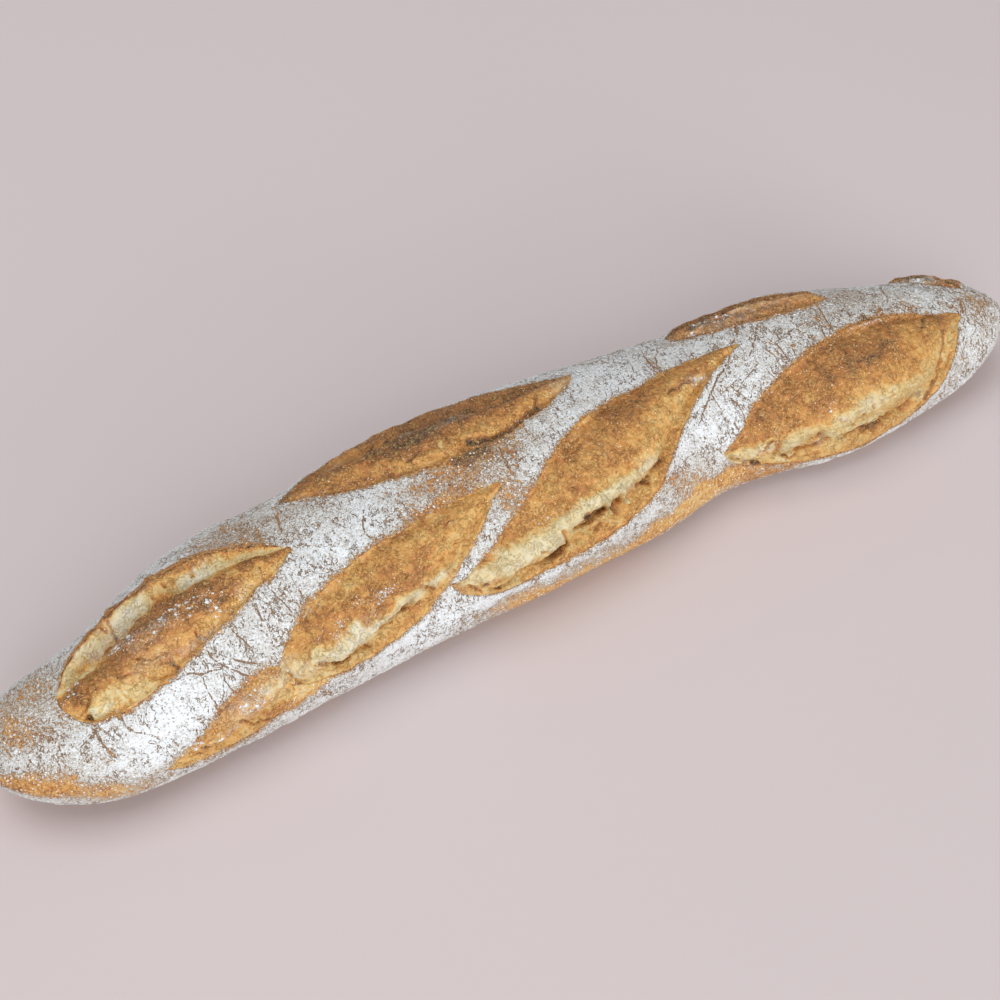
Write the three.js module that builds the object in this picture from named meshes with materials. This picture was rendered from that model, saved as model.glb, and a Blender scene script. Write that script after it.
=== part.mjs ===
import * as THREE from 'three';

// A baguette with two staggered rows of slashes that have burst open in the oven.
// Sizes are in millimetres and angles in degrees. X runs along the loaf, +Z is up, the front is -Y.
// A place on the crust is [x, angle]: the angle goes round from the crest, positive to the front.

const LEFT_END = -200;
const RIGHT_END = 210;
const LENGTH = RIGHT_END - LEFT_END;
const HEIGHT_TO_WIDTH = 0.73;
const BELLY_SHARE = 0.42; // height of the widest level, as a share of the full height
const FLAT_BASE_SHARE = 0.8; // cosine of the angle at which the side meets the flat base
const TIP_HEIGHT = 27.1;
const LEFT_ROUNDING = 115; // length over which each end rounds in to its tip
const RIGHT_ROUNDING = 68;
const NORMAL_STEP = 0.5; // how far apart the points are whose difference gives the slope of the crust
const TIP_MARGIN = 0.1; // the slope is taken no nearer the tips than this

// Half widths and sideways bends at eleven places, evenly spaced from the left tip to the right.
const HALF_WIDTHS = [43.0, 36.6, 37.5, 36.3, 38.0, 38.4, 35.9, 31.5, 33.4, 29.7, 28.6];
const SIDE_BENDS = [-6.9, -8.7, 0.3, 3.7, 6.2, 6.7, 5.9, 7.9, 2.5, -2.2, -9.0];

// Gentle unevenness of the hand-shaped dough: half waves along, waves around, height and phase.
const LUMPS = [
  { along: 5, around: 2, height: 0.35, phase: 0.4 },
  { along: 9, around: 3, height: 0.25, phase: 2.1 },
  { along: 14, around: 5, height: 0.15, phase: 4.4 },
];
const LUMP_FADE = [105, 138]; // angles between which the lumps die out above the flat base

// One opened slash runs from start to end. Above and below are the distances of its two edges from
// that line, at five stations that crowd towards the ends. The crumb swells by bulge next to one
// edge, sinks into a seam and turns up into the ear, which stands rim high on the ear side.
const MM_PER_DEGREE = 0.611; // length of one degree of crust, used to lay slashes and tears out flat
const SLASHES = [
  {
    start: [-170, 1], end: [-80, -2], earSide: -1,
    above: [-9.5, -15.2, -13.4, -8.4, -2.6], below: [14.2, 17.8, 16.4, 10.6, 4.7],
    bulge: 3.2, seamAt: 0.8, seam: 0.9, rim: 4.8, lip: 1.0,
  },
  {
    start: [-148, 87], end: [-98, 60], earSide: 1,
    above: [-0.2, -1.0, -4.8, -6.2, -4.4], below: [5.4, 11.4, 14.8, 14.6, 9.6],
    bulge: 1.6, seamAt: 0.7, seam: 0.9, rim: 0.8, lip: 0.6,
  },
  {
    start: [-105, 65], end: [-6, 21], earSide: 1,
    above: [-4.6, -13.2, -13.3, -7.5, -2.6], below: [8.1, 17.8, 18.3, 10.9, 3.1],
    bulge: 3.4, seamAt: 0.84, seam: 0.7, rim: 1.0, lip: 0.9,
  },
  {
    start: [-75, -40], end: [42, -38], earSide: -1,
    above: [-4.0, -8.5, -11.5, -0.5, 2.5], below: [6.8, 16.5, 22.4, 20.0, 10.2],
    bulge: 3.6, seamAt: 0.62, seam: 0.9, rim: 1.6, lip: 0.6,
  },
  {
    start: [-36, 59], end: [103, -8], earSide: 1,
    above: [2.0, -3.5, -12.0, -8.3, -2.8], below: [16.0, 24.4, 25.8, 11.3, 3.1],
    bulge: 3.8, seamAt: 0.84, seam: 1.2, rim: 1.4, lip: 0.9,
  },
  {
    start: [84, -43], end: [146, -28], earSide: -1,
    above: [-5.8, -8.0, -8.0, -6.5, -4.0], below: [5.3, 7.6, 8.0, 6.8, 3.6],
    bulge: 2.5, seamAt: 0.7, seam: 0.9, rim: 1.8, lip: 0.8,
  },
  {
    start: [79, 66], end: [188, 18], earSide: 1,
    above: [-3.4, -14.2, -18.4, -15.4, -4.8], below: [15.0, 27.2, 35.6, 30.0, 9.0],
    bulge: 4.2, seamAt: 0.8, seam: 1.0, rim: 1.3, lip: 0.9,
  },
  {
    start: [168, -50], end: [192, -20], earSide: -1,
    above: [-2.0, -3.0, -4.0, -3.0, -2.0], below: [2.0, 3.0, 4.0, 3.0, 2.0],
    bulge: 1.8, seamAt: 0.7, seam: 0.9, rim: 1.5, lip: 0.5,
  },
];
const EDGE_STATIONS = 6; // spans between the stations of an edge, ends included
const OUTLINE_POINTS = 40; // spans along each edge when distances to it are measured
const LIP_AT = 0.1; // share of the width at which the crust edge has dropped to the crumb
const BULGE_AT = 0.44; // share of the width at which the crumb stands highest
const CRUST_EDGE_RISE = 0.3; // how far the crust lifts along the edge opposite the ear
const SEAM_STEEPNESS = 1.3; // above 1 the crumb stays high for longer and then drops to the seam
const EAR_FALL = 7; // distance over which the ear falls back to the crust behind it
const EDGE_FALL = 4; // the same on the side opposite the ear
const EAR_SIDE_FROM = 0.45; // share of the width from which the ear starts to shape the crust outside
const EAR_SIDE_TO = 0.85;
const END_MARGIN = 0.03; // edges are read no nearer to their ends than this share of the length
const END_FADE = 0.1; // share of the length over which the relief grows from each end
const FULLNESS_POWER = 0.6; // how quickly the relief grows as the opening widens
const SLASH_REACH = 14; // beyond this distance from its edge a slash leaves the crust alone

// Tears where the crumb pulled apart inside the openings: places passed through, width and depth.
const TEARS = [
  { path: [[-33, 60], [-27, 71], [-19, 78.5], [-10, 80]], width: 1.6, depth: 2.2 },
  { path: [[-14, 69], [-6, 73], [2, 74], [8, 71]], width: 1.5, depth: 2.6 },
  { path: [[10, 61], [20, 59.5], [32.6, 57], [42.7, 53], [52, 46.5], [58, 38]], width: 2.0, depth: 3.4 },
  { path: [[79, 69], [85, 77], [90.5, 82]], width: 1.5, depth: 2.0 },
  { path: [[98, 83], [106, 87.5], [129, 85], [141, 84.5], [153, 77.5], [163, 70]], width: 1.9, depth: 2.4 },
  { path: [[169, 78], [172, 64], [177, 53], [182, 43.5]], width: 1.1, depth: 1.4 },
  { path: [[-90, 62], [-84, 69], [-79, 73], [-70, 72]], width: 1.5, depth: 2.0 },
  { path: [[-67, 65], [-58, 62], [-48, 57], [-38, 53]], width: 1.4, depth: 1.7 },
  { path: [[-99, 63], [-95, 73], [-88, 81]], width: 1.2, depth: 1.5 },
  { path: [[-124, 77], [-118, 81], [-112, 88]], width: 1.3, depth: 1.3 },
  { path: [[-166, -7], [-157, -14], [-146, -16.5], [-126, -12], [-106, -7]], width: 2.2, depth: 2.4 },
  { path: [[-164, 15], [-162.6, 23], [-161.6, 29]], width: 1.2, depth: 2.0 },
  { path: [[-45, -35], [-30, -34.5], [-12, -31.5], [6, -27], [20, -25]], width: 2.2, depth: 2.6 },
  { path: [[98, -37], [111, -32], [126, -28]], width: 1.6, depth: 1.8 },
];
const TEAR_POINTS = 20; // spans along each tear
const TEAR_REACH = 8; // beyond this distance a tear leaves the crust alone

// Mesh of the crust: rings along the loaf and columns round it, wide on the flat base. Corners that
// lie close to a slash edge or a tear are moved onto it, so that the relief has clean lines.
const RINGS = 97;
const COLUMNS = 58;
const BASE_COLUMNS = 8;
const END_CROWDING = 1.15; // above 1 the rings move closer together towards the tips
const TIP_RING_INSET = 0.5; // distance of the last ring from the tip
const SNAP_DISTANCE = 1.3; // corners no further than this from a line are moved onto it

const CRUST_COLOUR = 0xd2b48a;
const CRUST_ROUGHNESS = 0.85;

// --- curves and steps ---

// Smooth curve through evenly spaced values, at position 0 to values.length - 1.
function curveThrough(values, position) {
  const last = values.length - 1;
  const clamped = Math.min(Math.max(position, 0), last - 1e-9);
  const span = Math.floor(clamped);
  const t = clamped - span;
  const b = values[span];
  const c = values[span + 1];
  const a = span > 0 ? values[span - 1] : 2 * b - c;
  const d = span + 2 <= last ? values[span + 2] : 2 * c - b;
  return b + 0.5 * t * (c - a + t * (2 * a - 5 * b + 4 * c - d + t * (3 * (b - c) + d - a)));
}

function gaussian(distance, width) {
  return Math.exp(-((distance / width) ** 2));
}

// --- the plain loaf ---

function endShare(x) {
  const inset = Math.min((x - LEFT_END) / LEFT_ROUNDING, (RIGHT_END - x) / RIGHT_ROUNDING, 1);
  return Math.sqrt(1 - (1 - inset) ** 2);
}

function loafPoint(x, degrees) {
  const along = ((x - LEFT_END) / LENGTH) * (HALF_WIDTHS.length - 1);
  const halfWidth = curveThrough(HALF_WIDTHS, along);
  const bend = curveThrough(SIDE_BENDS, along);
  const height = 2 * halfWidth * HEIGHT_TO_WIDTH;
  const belly = height * BELLY_SHARE;
  const angle = THREE.MathUtils.degToRad(degrees);
  const rise = Math.cos(angle);
  const under = Math.min(1, -rise / FLAT_BASE_SHARE);
  const z = rise >= 0 ? belly + (height - belly) * rise : belly * (1 - Math.sin((Math.PI / 2) * under));
  const share = endShare(x);
  return new THREE.Vector3(
    x,
    bend - share * halfWidth * Math.sin(angle),
    TIP_HEIGHT + share * (z - TIP_HEIGHT),
  );
}

function loafNormal(x, degrees) {
  const step = NORMAL_STEP;
  const ahead = loafPoint(Math.min(x + step, RIGHT_END - TIP_MARGIN), degrees);
  const along = ahead.sub(loafPoint(Math.max(x - step, LEFT_END + TIP_MARGIN), degrees));
  const around = loafPoint(x, degrees + step).sub(loafPoint(x, degrees - step));
  return around.cross(along).normalize();
}

function lumpHeight(x, degrees) {
  const fade = 1 - THREE.MathUtils.smoothstep(Math.abs(degrees), LUMP_FADE[0], LUMP_FADE[1]);
  const along = (x / LENGTH) * Math.PI;
  const around = THREE.MathUtils.degToRad(degrees);
  let height = 0;
  for (const lump of LUMPS) {
    height += lump.height * Math.sin(lump.along * along + lump.around * around + lump.phase);
  }
  return height * fade * endShare(x);
}

// --- slashes, laid out on the crust unrolled flat ---

function flat([x, degrees]) {
  return new THREE.Vector2(x, degrees * MM_PER_DEGREE);
}

// Offsets of both edges at a share of the way from start to end.
function edgeOffsets(slash, share) {
  const station = (Math.acos(1 - 2 * THREE.MathUtils.clamp(share, 0, 1)) / Math.PI) * EDGE_STATIONS;
  return [curveThrough([0, ...slash.above, 0], station), curveThrough([0, ...slash.below, 0], station)];
}

function layOut(slash) {
  const start = flat(slash.start);
  const run = flat(slash.end).sub(start);
  const length = run.length();
  const along = run.clone().divideScalar(length);
  const across = new THREE.Vector2(-along.y, along.x);
  const place = (share, offset) => {
    const onLine = start.clone().addScaledVector(along, share * length);
    return onLine.addScaledVector(across, offset);
  };
  const upper = [];
  const lower = [];
  let widest = 0;
  for (let i = 0; i <= OUTLINE_POINTS; i += 1) {
    const share = (1 - Math.cos((Math.PI * i) / OUTLINE_POINTS)) / 2;
    const [above, below] = edgeOffsets(slash, share);
    upper.push(place(share, above));
    lower.push(place(share, below));
    widest = Math.max(widest, below - above);
  }
  const outline = [...upper, ...lower.slice(1, -1).reverse()];
  const box = new THREE.Box2().setFromPoints(outline).expandByScalar(SLASH_REACH);
  return { ...slash, start, length, along, across, outline, box, widest };
}

function nearestOnSegment(point, a, b) {
  const run = b.clone().sub(a);
  const share = THREE.MathUtils.clamp(point.clone().sub(a).dot(run) / run.lengthSq(), 0, 1);
  const place = a.clone().addScaledVector(run, share);
  return { distance: place.distanceTo(point), share, place };
}

// Distance to the outline, positive inside it.
function depthInside(outline, point) {
  let nearest = Infinity;
  let inside = false;
  outline.forEach((a, i) => {
    const b = outline[(i + 1) % outline.length];
    nearest = Math.min(nearest, nearestOnSegment(point, a, b).distance);
    if (a.y > point.y !== b.y > point.y) {
      const crossing = a.x + ((b.x - a.x) * (point.y - a.y)) / (b.y - a.y);
      if (point.x < crossing) inside = !inside;
    }
  });
  return inside ? nearest : -nearest;
}

// Height across the opening, from the plain edge at 0 to the ear at 1.
function heightAcross(slash, across) {
  const places = [0, LIP_AT, BULGE_AT, slash.seamAt, 1];
  const heights = [CRUST_EDGE_RISE, -slash.lip, slash.bulge, -slash.seam, slash.rim];
  let span = 0;
  while (span < 3 && across > places[span + 1]) span += 1;
  const t = THREE.MathUtils.clamp((across - places[span]) / (places[span + 1] - places[span]), 0, 1);
  const easings = [
    0.5 - 0.5 * Math.cos(Math.PI * t),
    Math.sin((Math.PI / 2) * t),
    (1 - Math.cos((Math.PI / 2) * t)) ** SEAM_STEEPNESS,
    0.5 - 0.5 * Math.cos(Math.PI * t),
  ];
  return heights[span] + (heights[span + 1] - heights[span]) * easings[span];
}

function slashRelief(slash, point) {
  if (!slash.box.containsPoint(point)) return 0;
  const depth = depthInside(slash.outline, point);
  if (depth < -SLASH_REACH) return 0;
  const fromStart = point.clone().sub(slash.start);
  const share = fromStart.dot(slash.along) / slash.length;
  const [above, below] = edgeOffsets(slash, THREE.MathUtils.clamp(share, END_MARGIN, 1 - END_MARGIN));
  const width = Math.max(below - above, 1);
  const fromAbove = (fromStart.dot(slash.across) - above) / width;
  const across = slash.earSide > 0 ? fromAbove : 1 - fromAbove;
  const endFade = THREE.MathUtils.smoothstep(Math.min(share, 1 - share), 0, END_FADE);
  const fullness = Math.min(width / slash.widest, 1) ** FULLNESS_POWER * endFade;
  if (depth > 0) return heightAcross(slash, THREE.MathUtils.clamp(across, 0, 1)) * fullness;
  const earShare = THREE.MathUtils.smoothstep(across, EAR_SIDE_FROM, EAR_SIDE_TO);
  const earHeight = slash.rim * gaussian(depth, EAR_FALL) * earShare;
  const edgeHeight = CRUST_EDGE_RISE * gaussian(depth, EDGE_FALL) * (1 - earShare);
  return (earHeight + edgeHeight) * fullness;
}

// --- tears ---

function tracePath(tear) {
  const corners = tear.path.map(flat);
  const points = [];
  for (let i = 0; i <= TEAR_POINTS; i += 1) {
    const position = (i / TEAR_POINTS) * (corners.length - 1);
    const x = curveThrough(corners.map((corner) => corner.x), position);
    const y = curveThrough(corners.map((corner) => corner.y), position);
    points.push(new THREE.Vector2(x, y));
  }
  const box = new THREE.Box2().setFromPoints(points).expandByScalar(TEAR_REACH);
  return { ...tear, points, box };
}

function tearDepth(tear, point) {
  if (!tear.box.containsPoint(point)) return 0;
  let nearest = Infinity;
  let along = 0;
  for (let i = 0; i < TEAR_POINTS; i += 1) {
    const { distance, share } = nearestOnSegment(point, tear.points[i], tear.points[i + 1]);
    if (distance < nearest) {
      nearest = distance;
      along = (i + share) / TEAR_POINTS;
    }
  }
  const taper = Math.sqrt(Math.max(Math.sin(Math.PI * along), 0));
  return tear.depth * taper * gaussian(nearest, tear.width);
}

// --- the crust, with all its relief ---

const slashes = SLASHES.map(layOut);
const tears = TEARS.map(tracePath);

// Height above the plain loaf.
function crustRelief(point) {
  const slashHeight = slashes.reduce((sum, slash) => sum + slashRelief(slash, point), 0);
  const cut = tears.reduce((deepest, tear) => Math.max(deepest, tearDepth(tear, point)), 0);
  return slashHeight - cut + lumpHeight(point.x, point.y / MM_PER_DEGREE);
}

// The place itself, or the nearest slash edge or tear where one is close.
function snapped(point) {
  let nearest = SNAP_DISTANCE;
  let place = point;
  const tryLine = (line, closed) => {
    for (let i = 0; i < line.length - (closed ? 0 : 1); i += 1) {
      const found = nearestOnSegment(point, line[i], line[(i + 1) % line.length]);
      if (found.distance < nearest) {
        nearest = found.distance;
        place = found.place;
      }
    }
  };
  for (const slash of slashes) if (slash.box.containsPoint(point)) tryLine(slash.outline, true);
  for (const tear of tears) if (tear.box.containsPoint(point)) tryLine(tear.points, false);
  return place;
}

// Angles of the columns: evenly round the crust, then with wide steps across the flat base.
function columnAngles() {
  const edge = THREE.MathUtils.radToDeg(Math.acos(-FLAT_BASE_SHARE));
  const crustColumns = COLUMNS - BASE_COLUMNS;
  const angles = [];
  for (let i = 0; i < crustColumns; i += 1) angles.push(-edge + (2 * edge * i) / crustColumns);
  for (let i = 0; i < BASE_COLUMNS; i += 1) angles.push(edge + ((360 - 2 * edge) * i) / BASE_COLUMNS);
  return angles;
}

function ringPlaces() {
  const middle = (LEFT_END + RIGHT_END) / 2;
  const places = [LEFT_END + TIP_RING_INSET];
  for (let ring = 1; ring < RINGS; ring += 1) {
    const side = (2 * ring) / RINGS - 1;
    places.push(middle + Math.sign(side) * (LENGTH / 2) * (1 - (1 - Math.abs(side)) ** END_CROWDING));
  }
  places.push(RIGHT_END - TIP_RING_INSET);
  return places;
}

function crustGeometry() {
  const places = ringPlaces();
  const angles = columnAngles();
  const points = [];
  for (const x of places) {
    for (const angle of angles) {
      const place = snapped(flat([x, angle]));
      const degrees = place.y / MM_PER_DEGREE;
      const point = loafPoint(place.x, degrees);
      point.addScaledVector(loafNormal(place.x, degrees), crustRelief(place));
      point.z = Math.max(point.z, 0);
      points.push(point);
    }
  }
  const leftTip = points.push(loafPoint(LEFT_END, 0)) - 1;
  const rightTip = points.push(loafPoint(RIGHT_END, 0)) - 1;
  const faces = [];
  for (let column = 0; column < COLUMNS; column += 1) {
    const next = (column + 1) % COLUMNS;
    faces.push(leftTip, next, column);
    for (let ring = 0; ring < places.length - 1; ring += 1) {
      const a = ring * COLUMNS + column;
      const b = ring * COLUMNS + next;
      const c = b + COLUMNS;
      const d = a + COLUMNS;
      if (points[a].distanceTo(points[c]) < points[b].distanceTo(points[d])) faces.push(a, c, d, a, b, c);
      else faces.push(a, b, d, b, c, d);
    }
    const last = (places.length - 1) * COLUMNS;
    faces.push(rightTip, last + column, last + next);
  }
  const geometry = new THREE.BufferGeometry().setFromPoints(points);
  geometry.setIndex(faces);
  geometry.computeBoundingBox();
  const centre = geometry.boundingBox.getCenter(new THREE.Vector3());
  geometry.translate(-centre.x, -centre.y, 0);
  geometry.computeVertexNormals();
  return geometry;
}

const crustMaterial = new THREE.MeshStandardMaterial({
  color: CRUST_COLOUR,
  roughness: CRUST_ROUGHNESS,
  metalness: 0,
});
const loaf = new THREE.Mesh(crustGeometry(), crustMaterial);
loaf.name = 'baguette_loaf';

const group = new THREE.Group();
group.add(loaf);

export default group;
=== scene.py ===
import itertools

import bmesh
import bpy
import numpy as np
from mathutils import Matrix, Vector


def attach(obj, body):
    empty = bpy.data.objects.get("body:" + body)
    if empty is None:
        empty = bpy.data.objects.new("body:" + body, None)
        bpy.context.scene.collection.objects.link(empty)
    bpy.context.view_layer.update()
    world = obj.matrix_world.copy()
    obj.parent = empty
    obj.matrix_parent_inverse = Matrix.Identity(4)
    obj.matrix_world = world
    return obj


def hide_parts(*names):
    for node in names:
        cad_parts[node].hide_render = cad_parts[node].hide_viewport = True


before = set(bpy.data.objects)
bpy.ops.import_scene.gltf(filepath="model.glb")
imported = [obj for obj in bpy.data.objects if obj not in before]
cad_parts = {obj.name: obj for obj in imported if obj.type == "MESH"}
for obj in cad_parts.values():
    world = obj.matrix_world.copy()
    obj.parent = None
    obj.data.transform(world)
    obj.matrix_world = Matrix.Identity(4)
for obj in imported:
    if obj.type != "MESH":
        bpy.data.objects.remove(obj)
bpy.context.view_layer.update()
print("frame loaded")

# A baguette in millimetres and degrees. x runs along the loaf, and the angle goes round from the
# crest, positive to the front. A place on the crust is (x, angle). Unrolled flat, it is x and the
# angle times mmPerDegree.
loaf = {
    "leftEnd": -200,
    "rightEnd": 210,
    "heightToWidth": 0.73,
    "bellyShare": 0.42,  # height of the widest level
    "flatBaseShare": 0.8,  # cosine of the angle at which the side meets the flat base
    "tipHeight": 27.1,
    "leftRounding": 115,
    "rightRounding": 68,
    "halfWidths": [43.0, 36.6, 37.5, 36.3, 38.0, 38.4, 35.9, 31.5, 33.4, 29.7, 28.6],  # evenly, tip to tip
    "sideBends": [-6.9, -8.7, 0.3, 3.7, 6.2, 6.7, 5.9, 7.9, 2.5, -2.2, -9.0],
    "lumps": [(5, 2, 0.35, 0.4), (9, 3, 0.25, 2.1), (14, 5, 0.15, 4.4)],  # along, around, height, phase
    "lumpFade": (105, 138),
    "mmPerDegree": 0.611,
}
loafLength = loaf["rightEnd"] - loaf["leftEnd"]
cadPoints = np.array([v.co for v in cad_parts["baguette_loaf"].data.vertices]) * 1000
leftTip = cadPoints[cadPoints[:, 0].argmin()]
# The frame has the middle of the loaf's box at its origin.
boxShift = np.array([leftTip[0] - loaf["leftEnd"], leftTip[1] - loaf["sideBends"][0], 0])


# A smooth curve through evenly spaced values, read at a position counted in values.
def curveThrough(values, position):
    last = len(values) - 1
    padded = np.r_[2 * values[0] - values[1], values, 2 * values[-1] - values[-2]]
    position = np.clip(position, 0, last - 1e-9)
    span = np.floor(position).astype(int)
    t = position - span
    a, b, c, d = (padded[span + k] for k in range(4))
    return b + 0.5 * t * (c - a + t * (2 * a - 5 * b + 4 * c - d + t * (3 * (b - c) + d - a)))


def smoothStep(value, low, high):
    t = np.clip((value - low) / (high - low), 0, 1)
    return t * t * (3 - 2 * t)


def bell(distance, width):
    return np.exp(-((distance / width) ** 2))


def profile(stations, value):
    places, heights = zip(*stations)
    return np.interp(value, places, heights)


rng = np.random.default_rng(11)
slopes = rng.normal(size=(64, 3))
slopes /= np.linalg.norm(slopes, axis=1, keepdims=True)
noise = {
    "cellFactors": (73856093, 19349663, 83492791),  # large primes that scatter the bits of a cell's place
    "seedFactor": 7477967,
    "mixers": ((16, 2246822519), (13, 3266489917)),  # shift and factor
    "pickFactor": 2654435761,
    "seedShift": 31.7,
    "gain": 1.6,
}


def scramble(cell, seed):
    cell = cell.astype(np.int64).astype(np.uint32)
    h = np.uint32(seed * noise["seedFactor"] % 2**32)
    for axis, factor in enumerate(noise["cellFactors"]):
        h = h ^ cell[..., axis] * np.uint32(factor)
    for shift, factor in noise["mixers"]:
        h = (h ^ (h >> np.uint32(shift))) * np.uint32(factor)
    return h ^ (h >> np.uint32(16))


# Smooth noise from about -1 to 1. Size is that of its widest swells, in millimetres.
def softNoise(place, size, seed, octaves=1):
    total = np.zeros(len(place))
    for octave in range(octaves):
        scaled = place / size * 2**octave + noise["seedShift"] * (seed + octave)
        cell = np.floor(scaled)
        inCell = scaled - cell
        fade = inCell**3 * (inCell * (inCell * 6 - 15) + 10)
        for corner in itertools.product((0, 1), repeat=3):
            slope = slopes[scramble(cell + corner, seed + octave) % np.uint32(len(slopes))]
            weight = np.prod(np.where(corner, fade, 1 - fade), axis=1)
            total += noise["gain"] * 0.5**octave * weight * ((inCell - corner) * slope).sum(1)
    return total


# 1 on the lines along which noise is 0, and less away from them.
def ridges(place, size, seed):
    return 1 - np.abs(softNoise(place, size, seed, 2))


# Distance to the nearest of many scattered points, and a random number that goes with that point.
def cellNoise(place, size, seed):
    scaled = place / size
    first = np.full(len(place), 9.0)
    pick = np.zeros(len(place))
    tenBits = np.uint32(1023)
    for offset in itertools.product((-1, 0, 1), repeat=3):
        cell = np.floor(scaled) + offset
        h = scramble(cell, seed)
        inCell = np.stack([h & tenBits, (h >> np.uint32(10)) & tenBits, h >> np.uint32(22)], 1) / tenBits
        distance = np.linalg.norm(scaled - cell - inCell, axis=1)
        closer = distance < first
        pick = np.where(closer, (h * np.uint32(noise["pickFactor"])) / 2**32, pick)
        first = np.where(closer, distance, first)
    return first * size, pick


# How much of its full width the loaf has at x, from 0 at the tips to 1.
def endShare(x):
    left = (x - loaf["leftEnd"]) / loaf["leftRounding"]
    right = (loaf["rightEnd"] - x) / loaf["rightRounding"]
    inset = np.clip(np.minimum(left, right), 0, 1)
    return np.sqrt(1 - (1 - inset) ** 2)


# The plain loaf's surface.
def loafPoint(x, angle):
    along = (x - loaf["leftEnd"]) / loafLength * (len(loaf["halfWidths"]) - 1)
    halfWidth = curveThrough(loaf["halfWidths"], along)
    bend = curveThrough(loaf["sideBends"], along)
    height = 2 * halfWidth * loaf["heightToWidth"]
    belly = height * loaf["bellyShare"]
    rise = np.cos(np.radians(angle))
    under = np.minimum(1, -rise / loaf["flatBaseShare"])
    z = np.where(rise >= 0, belly + (height - belly) * rise, belly * (1 - np.sin(np.pi / 2 * under)))
    share = endShare(x)
    y = bend - share * halfWidth * np.sin(np.radians(angle))
    return np.stack([x, y, loaf["tipHeight"] + share * (z - loaf["tipHeight"])], -1) + boxShift


def loafNormal(x, angle):
    step = 0.5
    low, high = loaf["leftEnd"] + 0.1, loaf["rightEnd"] - 0.1
    along = loafPoint(np.minimum(x + step, high), angle) - loafPoint(np.maximum(x - step, low), angle)
    around = loafPoint(x, angle + step) - loafPoint(x, angle - step)
    normal = np.cross(around, along)
    return normal / np.maximum(np.linalg.norm(normal, axis=-1, keepdims=True), 1e-9)


def lumpHeight(x, angle):
    fade = 1 - smoothStep(np.abs(angle), *loaf["lumpFade"])
    along, around = x / loafLength * np.pi, np.radians(angle)
    height = np.zeros(len(x))
    for lumpsAlong, lumpsAround, lumpSize, phase in loaf["lumps"]:
        height += lumpSize * np.sin(lumpsAlong * along + lumpsAround * around + phase)
    return height * fade * endShare(x)


# A place unrolled flat.
def flat(place):
    return np.array(place, float) * (1, loaf["mmPerDegree"])


# Flat places or offsets with a third coordinate of 0.
def inSpace(places):
    return np.pad(places, ((0, 0), (0, 1)))


# Full along most of a stroke and 0 at its ends.
def tapered(share):
    return np.sqrt(np.maximum(np.sin(np.pi * share), 0))


def lineThrough(corners, count=24):
    corners = flat(corners)
    position = np.linspace(0, len(corners) - 1, count)
    return np.stack([curveThrough(corners[:, 0], position), curveThrough(corners[:, 1], position)], 1)


# Distance to a line, the nearest place on it, the share of the way along it, and the side of it.
def nearestOn(line, places):
    found = np.full(len(places), 1e9)
    onLine = np.zeros((len(places), 2))
    share = np.zeros(len(places))
    side = np.zeros(len(places))
    for k, (a, b) in enumerate(itertools.pairwise(line)):
        run = b - a
        t = np.clip((places - a) @ run / max(run @ run, 1e-9), 0, 1)
        place = a + t[:, None] * run
        distance = np.linalg.norm(places - place, axis=1)
        closer = distance < found
        found = np.where(closer, distance, found)
        onLine = np.where(closer[:, None], place, onLine)
        share = np.where(closer, (k + t) / (len(line) - 1), share)
        turn = run[0] * (places[:, 1] - a[1]) - run[1] * (places[:, 0] - a[0])
        side = np.where(closer, np.sign(turn), side)
    return found, onLine, share, side


def nearBox(line, places, reach):
    return ((places > line.min(0) - reach) & (places < line.max(0) + reach)).all(1)


# Calls paint(stroke, near, distance, share, side) for the places within reach of each stroke's line.
def alongStrokes(strokes, places, reach, paint):
    for stroke in strokes:
        line = lineThrough(stroke["path"])
        near = np.flatnonzero(nearBox(line, places, reach))
        if len(near):
            distance, _, share, side = nearestOn(line, places[near])
            paint(stroke, near, distance, share, side)


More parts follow.
